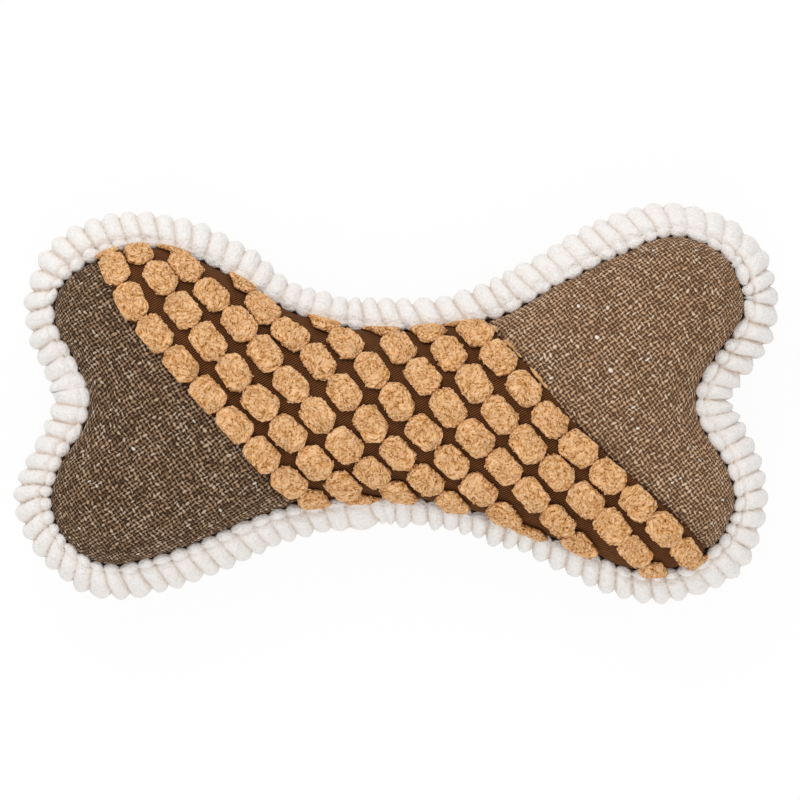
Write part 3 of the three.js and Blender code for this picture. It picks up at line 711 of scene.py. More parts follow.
@dataclass
class Outline:
    """The seam outline on the plan, and the distance in from it."""

    half_length: float = 137.2
    half_width: float = 64.9
    cell: float = 1.0
    margin: float = 24.0

    def __post_init__(self) -> None:
        """Places the outline by the thread in the front seam, and fills the table of distances."""
        low, high = (np.array(corner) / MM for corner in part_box("front_seam_thread"))
        self.centre = ((low + high) / 2)[:2]
        self.ease_readings()
        plain = through(self.from_shares(OUTLINE_SHARES), closed=True)
        run = np.roll(plain, -1, axis=0) - np.roll(plain, 1, axis=0)
        run /= np.linalg.norm(run, axis=1, keepdims=True)
        lengths = walked(np.vstack([plain, plain[:1]]))
        self.plain_length = lengths[-1]
        self.plain_shares = lengths / self.plain_length
        self.plain_sides = np.stack([run[:, 1], -run[:, 0]], axis=-1)
        shift = self.read_off(Reading.SEAM, self.plain_shares[:-1])
        curve = plain + self.plain_sides * shift[:, None]
        self.curve = np.vstack([curve, curve[:1]])
        self.lengths = walked(self.curve)
        self.length = self.lengths[-1]
        self.corner = self.curve.min(0) - self.margin
        counts = np.ceil((self.curve.max(0) + self.margin - self.corner) / self.cell).astype(int) + 1
        grid = np.stack(np.meshgrid(*(np.arange(count) for count in counts), indexing="ij"), axis=-1)
        places = (grid * self.cell + self.corner).reshape(-1, 2)
        samples, sides = self.stations(np.arange(960) / 960)
        parts = [self.measure(part, samples, sides) for part in np.array_split(places, 60)]
        self.table = np.concatenate(parts).reshape(counts)
        self.slopes = np.stack(np.gradient(self.table, self.cell), axis=-1)

    def ease_readings(self) -> None:
        """Eases the border's readings into each other, at even steps of the plain outline's length."""
        rows = np.array(SEAM_READINGS)
        self.steps = np.arange(800) / 800
        table = np.stack([np.interp(self.steps, rows[:, 0], column) for column in rows[:, 1:].T], axis=-1)
        for _ in range(10):
            table = (np.roll(table, 1, axis=0) + 2 * table + np.roll(table, -1, axis=0)) / 4
        self.eased = table

    def read_off(self, reading: Reading, plain_shares: Array) -> Array:
        """A reading at shares of the plain outline's length."""
        return np.interp(plain_shares, self.steps, self.eased[:, reading.value], period=1)

    def plain_share(self, shares: Array) -> Array:
        """Shares of the plain outline's length at shares of the seam's own length."""
        return np.interp(shares * self.length, self.lengths, self.plain_shares)

    def plain_side(self, plain_shares: Array) -> Array:
        """The plain outline's outward directions at shares of its length."""
        sides = np.stack([np.interp(plain_shares, self.plain_shares[:-1], part, period=1)
                          for part in self.plain_sides.T], axis=-1)
        return sides / np.linalg.norm(sides, axis=1, keepdims=True)

    def from_shares(self, shares: tuple[tuple[float, float], ...]) -> Array:
        """Places on the plan from shares of the half length and width."""
        return np.array(shares) * (self.half_length, self.half_width) + self.centre

    def stations(self, shares: Array) -> tuple[Array, Array]:
        """Points on the outline at shares of its length, and their outward directions."""
        at = (shares % 1) * self.length
        points = along(self.curve, self.lengths, at)
        step = 0.8
        ahead = along(self.curve, self.lengths, (at + step) % self.length)
        behind = along(self.curve, self.lengths, (at - step) % self.length)
        run = (ahead - behind) / np.linalg.norm(ahead - behind, axis=1, keepdims=True)
        return points, np.stack([run[:, 1], -run[:, 0]], axis=-1)

    def measure(self, places: Array, samples: Array, sides: Array) -> Array:
        """Distance in from the outline, rounded off where two sides are equally near."""
        away = places[:, None, :] - samples[None, :, :]
        reach = np.maximum(np.linalg.norm(away, axis=-1), 1e-3)
        nearest = reach.argmin(axis=1)
        rows = np.arange(len(places))
        out = (away[rows, nearest] * sides[nearest]).sum(-1)
        plain = np.where(np.abs(out) < 3, np.abs(out), reach[rows, nearest])
        rounded = np.sqrt(2 / (self.length / len(samples) * (reach**-3.0).sum(1)))
        share = np.where(out > 0, 0, ramp_up(plain, 1.5, 6))
        return np.where(out > 0, -1, 1) * (plain * (1 - share) + rounded * share)

    def look_up(self, table: Array, plan: Array) -> Array:
        """Reads a table of the outline's grid at places on the plan."""
        place = np.clip((plan - self.corner) / self.cell, 0, np.array(table.shape[:2]) - 1.001)
        low = place.astype(int)
        part = place - low
        (i, j), (a, b) = low.T, part.T
        if table.ndim == 3:
            a, b = a[:, None], b[:, None]
        near = table[i, j] * (1 - a) + table[i + 1, j] * a
        far = table[i, j + 1] * (1 - a) + table[i + 1, j + 1] * a
        return near * (1 - b) + far * b

    def distance(self, plan: Array) -> Array:
        """Distance in from the outline, less than 0 outside it."""
        return self.look_up(self.table, plan)


@dataclass
class Face:
    """One stuffed face, and the flat cloth that is sewn to its shape."""

    side: Side
    outline: Outline
    level: float
    crown: float
    run: float = 42.0
    fullness: float = 0.56
    tuck: float = 3.0  # how far cloth runs on down into the seam
    landing: float = 1.5  # the height over which the back's cloth eases flat onto the ground

    def __post_init__(self) -> None:
        """Measures the cloth's length from the plateau out to each distance from the seam."""
        self.inward = self.run * np.linspace(0, 1, 400) ** 3
        rise = self.rise(self.inward)
        pieces = np.hypot(np.diff(self.inward), np.diff(rise))
        self.cloth = np.concatenate([[0.0], np.cumsum(pieces)])
        self.spare = self.cloth[-1] - self.run

    def rise(self, inward: Array) -> Array:
        """Height over the seam at a distance in from it."""
        share = np.clip(inward / self.run, 0, 1)
        return self.crown * (1 - (1 - share) ** 2) ** self.fullness

    def slope(self, inward: Array) -> Array:
        """How steeply the face rises at a distance in from the seam."""
        share = np.clip(inward / self.run, 0.002, 1)
        inner = np.maximum(1 - (1 - share) ** 2, 1e-6)
        return self.crown * self.fullness * inner ** (self.fullness - 1) * 2 * (1 - share) / self.run

    def unfold(self, plan: Array) -> Array:
        """Where points of the plan lie on the flat cloth."""
        inward = self.outline.distance(plan)
        pull = self.outline.look_up(self.outline.slopes, plan)
        spare = self.cloth[-1] - np.interp(inward, self.inward, self.cloth)
        spare = spare - (self.run - np.minimum(inward, self.run))
        return plan - pull * spare[:, None]

    def cloth_edge(self, flat: Array) -> Array:
        """How far inside its sewn edge a point of the flat cloth lies."""
        return self.outline.distance(flat) + self.spare

    def fold(self, flat: Array) -> Array:
        """Where points of the flat cloth lie on the plan; past the seam they stay on it."""
        inward = self.outline.distance(flat)
        pull = self.outline.look_up(self.outline.slopes, flat)
        target = np.interp(inward + self.spare, self.cloth, self.inward)
        shift = np.where(inward > self.run, 0, target - inward)
        return flat + pull * shift[:, None]

    def place(self, flat: Array, lift: Array | float = 0.0) -> Array:
        """Points on the stuffed face.

        Args:
            flat: places on the flat cloth.
            lift: how far out of the cloth each one lies.

        Returns:
            Points in millimetres.
        """
        plan = self.fold(flat)
        inward = np.maximum(self.outline.distance(plan), 0)
        pull = self.outline.look_up(self.outline.slopes, plan)
        past = np.maximum(-self.cloth_edge(flat), 0)
        slope = self.slope(inward)
        out = np.column_stack([-pull * slope[:, None], np.full(len(plan), float(self.side.value))])
        out /= np.linalg.norm(out, axis=1, keepdims=True)
        height = self.level + self.side.value * (self.rise(inward) - past)
        points = np.column_stack([plan, height]) + out * np.reshape(lift, (-1, 1))
        if self.side is Side.BACK:
            below = np.minimum(points[:, 2] - self.landing, 0)
            points[:, 2] = np.where(below < 0, self.landing * np.exp(below / self.landing), points[:, 2])
        return points


@dataclass
class BandSeam:
    """One of the two seams of the slanted band, as a line down the plan."""

    outline: Outline
    shares: tuple[tuple[float, float], ...]
    overrun: float = 30.0

    def __post_init__(self) -> None:
        """Runs a smooth line through the seam's points, and straight on past its ends."""
        points = self.outline.from_shares(self.shares)
        first = points[0] - points[1]
        last = points[-1] - points[-2]
        points = np.vstack([points[0] + first / np.linalg.norm(first) * self.overrun, points,
                            points[-1] + last / np.linalg.norm(last) * self.overrun])
        self.line = through(points)[::-1]

    def across(self, y: Array) -> Array:
        """Where along the toy the seam lies, at places across it."""
        return np.interp(y, self.line[:, 1], self.line[:, 0])

    def beyond(self, plan: Array) -> Array:
        """How far right of the seam points of the plan lie."""
        step = 1.0
        lean = (self.across(plan[:, 1] + step) - self.across(plan[:, 1] - step)) / (2 * step)
        return (plan[:, 0] - self.across(plan[:, 1])) / np.sqrt(1 + lean**2)


@dataclass
class Body:
    """What all pieces of the toy share: its outline, faces and band seams."""

    outline: Outline = field(default_factory=Outline)

    def __post_init__(self) -> None:
        """Takes the seams' levels from the border strip of the frame."""
        low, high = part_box("border_strip")
        self.back_level, self.front_level = low.z / MM, high.z / MM
        self.middle = (self.back_level + self.front_level) / 2
        self.front = Face(Side.FRONT, self.outline, self.front_level, crown=22.4)
        self.back = Face(Side.BACK, self.outline, self.back_level, crown=21.4)
        self.left_seam = BandSeam(self.outline, LEFT_SEAM_SHARES)
        self.right_seam = BandSeam(self.outline, RIGHT_SEAM_SHARES)


def set_piece(mesh: bpy.types.Mesh, replaces: tuple[str, ...], material: bpy.types.Material) -> bpy.types.Object:
    """Makes a piece of the toy from a finished mesh and fixes it to the toy's body.

    Args:
        mesh: the finished mesh, in metres.
        replaces: the CAD nodes that it stands for.
        material: its finish.

    Returns:
        The new object.
    """
    smooth_faces(mesh)
    mesh.materials.append(material)
    piece = bpy.data.objects.new(f"{mesh.name.split('.')[0]}_look", mesh)
    bpy.context.scene.collection.objects.link(piece)
    if replaces:
        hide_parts(*replaces)
    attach(piece, "toy")
    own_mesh(piece)
    log.info("%s: %d points, %d faces", piece.name, len(mesh.vertices), len(mesh.polygons))
    return piece


class Region(Enum):
    """The part of a face that a cloth panel covers."""

    LEFT = "left of the band"
    BAND = "the band"
    RIGHT = "right of the band"
    WHOLE = "the whole face"


@dataclass
class ClothPanel:
    """A panel of cloth over part of a stuffed face, on a grid along its yarns."""

    name: str
    slot: str
    body: Body
    face: Face
    region: Region
    finish: Burlap | Knit
    yarn_angle: float
    step: float = 0.85
    yarn_pitch: float = 1.7
    relief: float = 0.12
    thickness: float = 1.1
    seam_dip: float = 1.1
    pucker: float = 0.35

    def inside(self, flat: Array) -> Array:
        """How far inside the panel points of the flat cloth lie."""
        edge = self.face.cloth_edge(flat) + self.face.tuck
        plan = self.face.fold(flat)
        if self.region is Region.LEFT:
            return np.minimum(edge, -self.body.left_seam.beyond(plan) + 0.3)
        if self.region is Region.RIGHT:
            return np.minimum(edge, self.body.right_seam.beyond(plan) + 0.3)
        if self.region is Region.BAND:
            sides = np.minimum(self.body.left_seam.beyond(plan), -self.body.right_seam.beyond(plan))
            return np.minimum(edge, sides + 0.3)
        return edge

    def turned(self, flat: Array, way: int = 1) -> Array:
        """Points turned to the yarns' directions, or back where way is -1."""
        angle = np.radians(self.yarn_angle) * way
        turn = np.array([[np.cos(angle), -np.sin(angle)], [np.sin(angle), np.cos(angle)]])
        return flat @ turn.T

    def seam_distance(self, flat: Array) -> Array:
        """Distance on the cloth from the nearest band seam."""
        plan = self.face.fold(flat)
        return np.minimum(np.abs(self.body.left_seam.beyond(plan)), np.abs(self.body.right_seam.beyond(plan)))

    def cut(self) -> bpy.types.Mesh:
        """Cuts the flat panel from a grid, with its edge points moved onto its outline."""
        outline = self.body.outline
        reach = outline.curve - outline.centre
        reach = self.turned(reach + np.sign(reach) * (self.face.spare + self.face.tuck), -1)
        low = np.floor(reach.min(0) / self.yarn_pitch) * self.yarn_pitch
        counts = np.ceil((reach.max(0) - low) / self.step).astype(int)
        shape = grid_shape(int(counts[0]), int(counts[1]), tuple(counts * self.step))
        shape.verts.ensure_lookup_table()
        yarn = np.array([vert.co[:2] for vert in shape.verts]) + low
        inner = self.inside(self.turned(yarn) + outline.centre) > 0
        kept = [face for face in shape.faces if any(inner[vert.index] for vert in face.verts)]
        wanted = {vert.index for face in kept for vert in face.verts}
        spare = [vert for vert in shape.verts if vert.index not in wanted]
        bmesh.ops.translate(shape, verts=shape.verts, vec=(low[0], low[1], 0))
        bmesh.ops.delete(shape, geom=spare, context="VERTS")
        return finish_shape(shape, self.name)

    def snapped(self, flat: Array) -> Array:
        """Moves the points outside the panel onto its edge."""
        flat = flat.copy()
        step = 0.2
        for _ in range(4):
            outside = np.nonzero(self.inside(flat) < 0)[0]
            if not len(outside):
                break
            here = flat[outside]
            depth = self.inside(here)
            pull = np.stack([(self.inside(here + shift) - self.inside(here - shift)) / (2 * step)
                             for shift in (np.array([step, 0]), np.array([0, step]))], axis=-1)
            flat[outside] -= pull * (depth / np.maximum((pull**2).sum(-1), 0.2))[:, None]
        return flat

    def lift(self, flat: Array, yarn: Array) -> Array:
        """How far the cloth stands out of the smooth face: its weave, its seams and its unevenness."""
        counts = yarn / self.yarn_pitch
        weave = -(np.cos(2 * np.pi * counts).sum(-1)) / 2 * self.relief
        edge = np.maximum(self.face.cloth_edge(flat), 0)
        plan = self.face.fold(flat)
        uneven = 0.45 * noise(plan, 21.0, 3) + 0.2 * noise(plan, 9.0, 4)
        uneven *= ramp_up(edge, 2.0, 16.0)
        gather = self.pucker * np.exp(-edge / 7.0) * noise(plan, 4.2, 9)
        total = weave + uneven + gather
        if self.region is not Region.WHOLE:
            total -= self.seam_dip * np.exp(-((self.seam_distance(flat) / 1.5) ** 2))
        return total

    def build(self) -> bpy.types.Object:
        """Makes the panel."""
        mesh = self.cut()
        places = read_places(mesh)[:, :2]
        centre = self.body.outline.centre
        flat = self.snapped(self.turned(places) + centre)
        yarn = self.turned(flat - centre, -1)
        write_uv(mesh, yarn / self.yarn_pitch)
        write_places(mesh, self.face.place(flat, self.lift(flat, yarn)))
        if self.face.side is Side.BACK:
            mesh.flip_normals()
        piece = set_piece(mesh, (self.name,), self.finish.material())
        wall = piece.modifiers.new("cloth", "SOLIDIFY")
        wall.thickness = self.thickness * MM
        wall.offset = -1
        return piece


@dataclass
class PadRow:
    """One slanted row of curly pile pads on the band."""

    index: int
    body: Body
    material: bpy.types.Material
    first_row: float = 0.037  # of the band's width
    row_step: float = 0.1283
    step: float = 15.6
    half_length: float = 7.8
    half_width: float = 5.4
    height: float = 3.9
    shoulder: float = 1.5
    blunt: float = 0.27  # of half the width that stays at the ends
    curls: int = 26
    overhang: float = 0.9  # how far pads reach over the band's seams
    start_shares: tuple[float, ...] = (0.74, 0.01, 0.42, 0.69, 0.98, 0.18, 0.41, 0.57)
    # How far each row shifts near the border in its upper and its lower half, and its lower pads along it
    top_shifts: tuple[float, ...] = (-1.0, -5.8, -7.0, -5.0, -2.0, 0.0, 0.0, 0.0)
    bottom_shifts: tuple[float, ...] = (4.5, 4.0, 3.9, 2.8, 0.0, 0.0, 0.0, 0.0)
    squeezes: tuple[float, ...] = (0.0, 0.0, 0.0, 0.0, 0.0, 2.0, 3.6, 3.3)
    # Where along Y each sliver of pile on the right seam starts and ends
    slivers: tuple[tuple[float, float], ...] = ((30.5, 27.0), (24.7, 17.3), (14.2, 5.3))
    corners: int = 22  # how sharp a pad's corners are
    foot: float = 0.6  # how far a pad's underside reaches down past the ground cloth's face
    strand_stretch: float = 0.62
    strand_widths: tuple[float, float] = (1.05, 0.6)
    strand_heights: tuple[float, float] = (0.75, 0.35)
    strand_sink: float = 0.6
    lump_size: float = 4.0
    lump_height: float = 0.22
    sliver_half_width: float = 0.65
    sliver_half_height: float = 0.6
    sliver_lift: float = 0.25
    turn_most: float = 7.0  # degrees that a pad is turned out of its row
    squeeze_run: tuple[float, float] = (42.0, 3.0)  # before and past the row's end

    def middle_line(self) -> Array:
        """The row's middle line on the plan, from the top edge to the bottom edge."""
        y = self.body.outline.centre[1] + self.body.outline.half_width * np.linspace(1, -1, 321)
        left, right = self.body.left_seam.across(y), self.body.right_seam.across(y)
        line = np.column_stack([left + (right - left) * (self.first_row + self.row_step * self.index), y])
        near = ramp_up(-self.body.outline.distance(line), -16.0, 0.0)
        above = y > self.body.outline.centre[1]
        line[:, 0] += near * np.where(above, self.top_shifts[self.index], self.bottom_shifts[self.index])
        return line

    def pad_shape(self) -> bpy.types.Mesh:
        """A round ball that each pad is shaped from."""
        shape = bmesh.new()
        bmesh.ops.create_icosphere(shape, subdivisions=5, radius=1.0)
        return finish_shape(shape, "pad_ball")

    def curl_shape(self) -> bpy.types.Mesh:
        """A short three-sided curl, spun about a line so that it bends through most of a circle."""
        shape = bmesh.new()
        ends = bmesh.ops.create_circle(shape, cap_ends=True, segments=3, radius=0.24)["verts"]
        bmesh.ops.rotate(shape, verts=ends, cent=(0, 0, 0), matrix=Matrix.Rotation(np.pi / 2, 3, "X"))
        bmesh.ops.translate(shape, verts=ends, vec=(0.5, 0, 0))
        bmesh.ops.spin(shape, geom=shape.faces[:] + shape.edges[:] + shape.verts[:], cent=(0, 0, 0),
                       axis=(0, 0, 1), dvec=(0, 0, 0.07), angle=np.radians(205), steps=5, use_merge=False)
        bmesh.ops.remove_doubles(shape, verts=shape.verts, dist=1e-5)
        bmesh.ops.recalc_face_normals(shape, faces=shape.faces)
        return finish_shape(shape, "pile_curl")

    def pad_points(self, ball: Array, seed: int) -> tuple[Array, Array, Array, Array]:
        """A pad's points in its own axes: along the row, across it and up.

        Args:
            ball: points of a ball of radius 1.
            seed: which of the pads, all a little different.

        Returns:
            The points, their outward directions, how much light is painted on each one (least in the crevices
            between strands, low down and underneath), and where it lies along and across the strands.
        """
        out = np.minimum(np.hypot(ball[:, 0], ball[:, 1]), 1)
        way = ball[:, :2] / np.maximum(out, 1e-6)[:, None]
        chance = lattice(np.array([[self.index, seed, k] for k in range(6)]), 77)
        long, wide = self.half_length * (0.97 + 0.06 * chance[0]), self.half_width * (0.95 + 0.1 * chance[1])
        cut = 0.3 + 0.1 * chance[2]  # of half the length that each end tapers over
        end, edge = np.abs(way[:, 0]) / long, np.abs(way[:, 1]) / wide
        taper = (end * (1 - self.blunt) + edge * cut) / (1 - self.blunt * (1 - cut))
        sides = 1e-9 + np.stack([end, edge, taper], axis=-1)
        widest = sides.max(axis=-1)
        reach = 1 / (widest * ((sides / widest[:, None]) ** self.corners).sum(-1) ** (1 / self.corners))
        plan = way * (reach * out)[:, None]
        top = self.shoulder + (self.height - self.shoulder) * (1 - out**5) ** 0.5
        foot = self.shoulder - (self.shoulder + self.foot) * np.sqrt(np.maximum(1 - out**4, 0))
        points = np.column_stack([plan, np.where(ball[:, 2] > 0, top, foot)])
        aim = np.column_stack([way * (out**2)[:, None], ball[:, 2]])
        aim /= np.linalg.norm(aim, axis=1, keepdims=True)
        spot = points + 100.0 * np.array([self.index, seed, 1.0])
        bend = np.stack([noise(spot, 1.7, 20 + axis) for axis in range(3)], axis=-1)
        swirl = np.pi * chance[3] + 0.7 * noise(spot, 7.0, 33)
        combed = np.column_stack([points[:, 0] * np.cos(swirl) + points[:, 1] * np.sin(swirl),
                                  points[:, 1] * np.cos(swirl) - points[:, 0] * np.sin(swirl)])
        strand = np.column_stack([combed * (self.strand_stretch, 1.0), points[:, 2]])
        strand = strand + 0.6 * bend + 31.0 * chance[:3]
        swell, small = (np.minimum(np.abs(noise(strand, width, seed)) * 2.4, 1) ** 0.7
                        for width, seed in zip(self.strand_widths, (5, 8)))
        loose = ramp_up(ball[:, 2], -0.35, 0.15)
        lumps = self.lump_height * noise(spot, self.lump_size, 31) * loose
        loose_top = loose * (0.72 + 0.28 * np.clip(ball[:, 2], 0, 1))
        coarse_height, fine_height = self.strand_heights
        strands = coarse_height * swell + fine_height * small - self.strand_sink
        points = points + aim * (strands * loose_top + lumps)[:, None]
        # painted shade: darker between the strands, low on the pad and underneath
        tip = np.clip(0.45 * swell + 0.25 * small + 0.25 * ramp_up(points[:, 2], 0.4, 3.0), 0, 1) * loose
        return points, aim, tip, combed + 50.0 * chance[4:6]

    def sliver_points(self, ball: Array, ends: tuple[float, float], seed: int) -> Array:
        """A thin ragged sliver of cut pile that lies along the band's right seam.

        Args:
            ball: points of a ball of radius 1.
            ends: where along the plan's Y it starts and ends.
            seed: which sliver.
        """
        face = self.body.front
        y = sum(ends) / 2 + (ends[0] - ends[1]) / 2 * ball[:, 0]
        ragged = 1 + 0.9 * noise(np.column_stack([y, ball[:, 1] * 0.6, np.full(len(y), 9.0 * seed)]), 1.3, 61)
        flat = face.unfold(np.column_stack([self.body.right_seam.across(y) + 0.2, y]))
        way = flat[ball[:, 0].argmax()] - flat[ball[:, 0].argmin()]
        way /= np.linalg.norm(way)
        side = np.array([way[1], -way[0]])
        wide = self.sliver_half_width * ball[:, 1] * ragged
        return face.place(flat + side * wide[:, None],
                          self.sliver_lift + self.sliver_half_height * ball[:, 2] * ragged)

    def within_band(self, flat: Array) -> Array:
        """Draws in what would reach too far over a seam of the band."""
        plan = self.body.front.fold(flat)
        left = self.body.left_seam.beyond(plan) + self.overhang
        right = self.overhang - self.body.right_seam.beyond(plan)
        moved = flat.copy()
        moved[:, 0] += np.where(left < 0, -0.85 * left, 0) - np.where(right < 0, -0.85 * right, 0)
        return moved

    def curl_points(self, curl: Array, points: Array, aims: Array, seed: int) -> tuple[Array, Array]:
        """The pad's curls, each lying on the pad and turned at random.

        Args:
            curl: one curl's points.
            points: where the curls start.
            aims: the outward directions there.
            seed: which pad.

        Returns:
            All the curls' points, one curl after the other, and how much light is painted on each point, more
            the further out it lies in its curl.
        """
        random = np.random.default_rng(1000 * self.index + seed)
        count = len(points)
        spin = random.normal(size=(count, 3))
        flat = np.cross(aims, spin)
        flat /= np.linalg.norm(flat, axis=1, keepdims=True)
        rise = aims * 0.75 + np.cross(aims, flat) * random.uniform(-0.9, 0.9, (count, 1))
        rise /= np.linalg.norm(rise, axis=1, keepdims=True)
        lean = np.cross(flat, rise)
        size = random.uniform(0.75, 1.25, (count, 1, 1))
        local = curl[None, :, :] * size
        placed = (points[:, None, :] + local[..., :1] * flat[:, None, :] + local[..., 1:2] * rise[:, None, :]
                  + local[..., 2:] * lean[:, None, :] - aims[:, None, :] * 0.22)
        # painted shade: a curl is darker where it lies nearer the pad
        tip = np.clip(0.6 + 0.6 * local[..., 1] + random.uniform(-0.12, 0.12, (count, 1)), 0, 1)
        return placed.reshape(-1, 3), tip.ravel()

    def build(self) -> bpy.types.Object:
        """Makes the row."""
        face, outline = self.body.front, self.body.outline
        line = self.middle_line()
        height = face.rise(np.maximum(outline.distance(line), 0))
        lengths = walked(np.column_stack([line, height]))
        lengths -= lengths[len(lengths) // 2]
        ball_mesh, curl_mesh = self.pad_shape(), self.curl_shape()
        ball, curl = read_places(ball_mesh), read_places(curl_mesh)
        shape = bmesh.new()
        places, crevice_lights, strands = [], [], []
        start = self.start_shares[self.index]
        inside = outline.distance(line) > -1
        low, high = lengths[inside][0], lengths[inside][-1]
        for number in range(int(np.floor(low / self.step)) - 1, int(np.ceil(high / self.step)) + 2):
            at = (number + start) * self.step
            before, past = self.squeeze_run
            at -= self.squeezes[self.index] * ramp_up(at, high - before, high + past)
            if not low - 0.3 * self.step < at < high + 0.3 * self.step:
                continue
            seed = number + 40
            points, aims, tip, combed = self.pad_points(ball, seed)
            random = np.random.default_rng(7000 + 100 * self.index + seed)
            upper = np.nonzero(ball[:, 2] > -0.12)[0]
            picked = random.choice(upper, self.curls, replace=False)
            curls, curl_crevice_light = self.curl_points(curl, points[picked], aims[picked], seed)
            clipped = np.clip(at, low, high)
            near = along(line, lengths, np.array([clipped - 2, clipped, clipped + 2]))
            flat = face.unfold(near)
            way = flat[2] - flat[0]
            way /= np.linalg.norm(way)
            middle = flat[1] + way * (at - clipped)
            side = np.array([way[1], -way[0]])
            turn = np.radians(self.turn_most) * (2 * lattice(np.array([[self.index, seed]]), 5)[0] - 1)
            for local, own in ((points, tip), (curls, curl_crevice_light)):
                a = local[:, 0] * np.cos(turn) - local[:, 1] * np.sin(turn)
                b = local[:, 0] * np.sin(turn) + local[:, 1] * np.cos(turn)
                cloth = self.within_band(middle + a[:, None] * way + b[:, None] * side)
                low_edge = ramp_up(cloth[:, 1] - outline.centre[1], 10.0, -20.0)
                calm = 0.5 + 0.3 * low_edge
                lift = local[:, 2] * (calm + (1 - calm) * ramp_up(face.cloth_edge(cloth), -1.0, 9.0))
                places.append(face.place(cloth, lift))
                crevice_lights.append(own)
            strands += [combed, np.zeros((len(curls), 2))]
            shape.from_mesh(ball_mesh)
            for _ in range(self.curls):
                shape.from_mesh(curl_mesh)
        last = self.index == len(self.start_shares) - 1
        for number, ends in enumerate(self.slivers if last else ()):
            places.append(self.sliver_points(ball, ends, number))
            crevice_lights.append(np.full(len(ball), 0.75))
            strands.append(ball[:, :2] * (5.0, 1.0))
            shape.from_mesh(ball_mesh)
        name = f"pile_row_{self.index + 1}"
        mesh = finish_shape(shape, name)
        write_places(mesh, np.vstack(places))
        write_attribute(mesh, "tip", np.concatenate(crevice_lights))
        write_uv(mesh, np.vstack(strands))
        return set_piece(mesh, (name,), self.material)


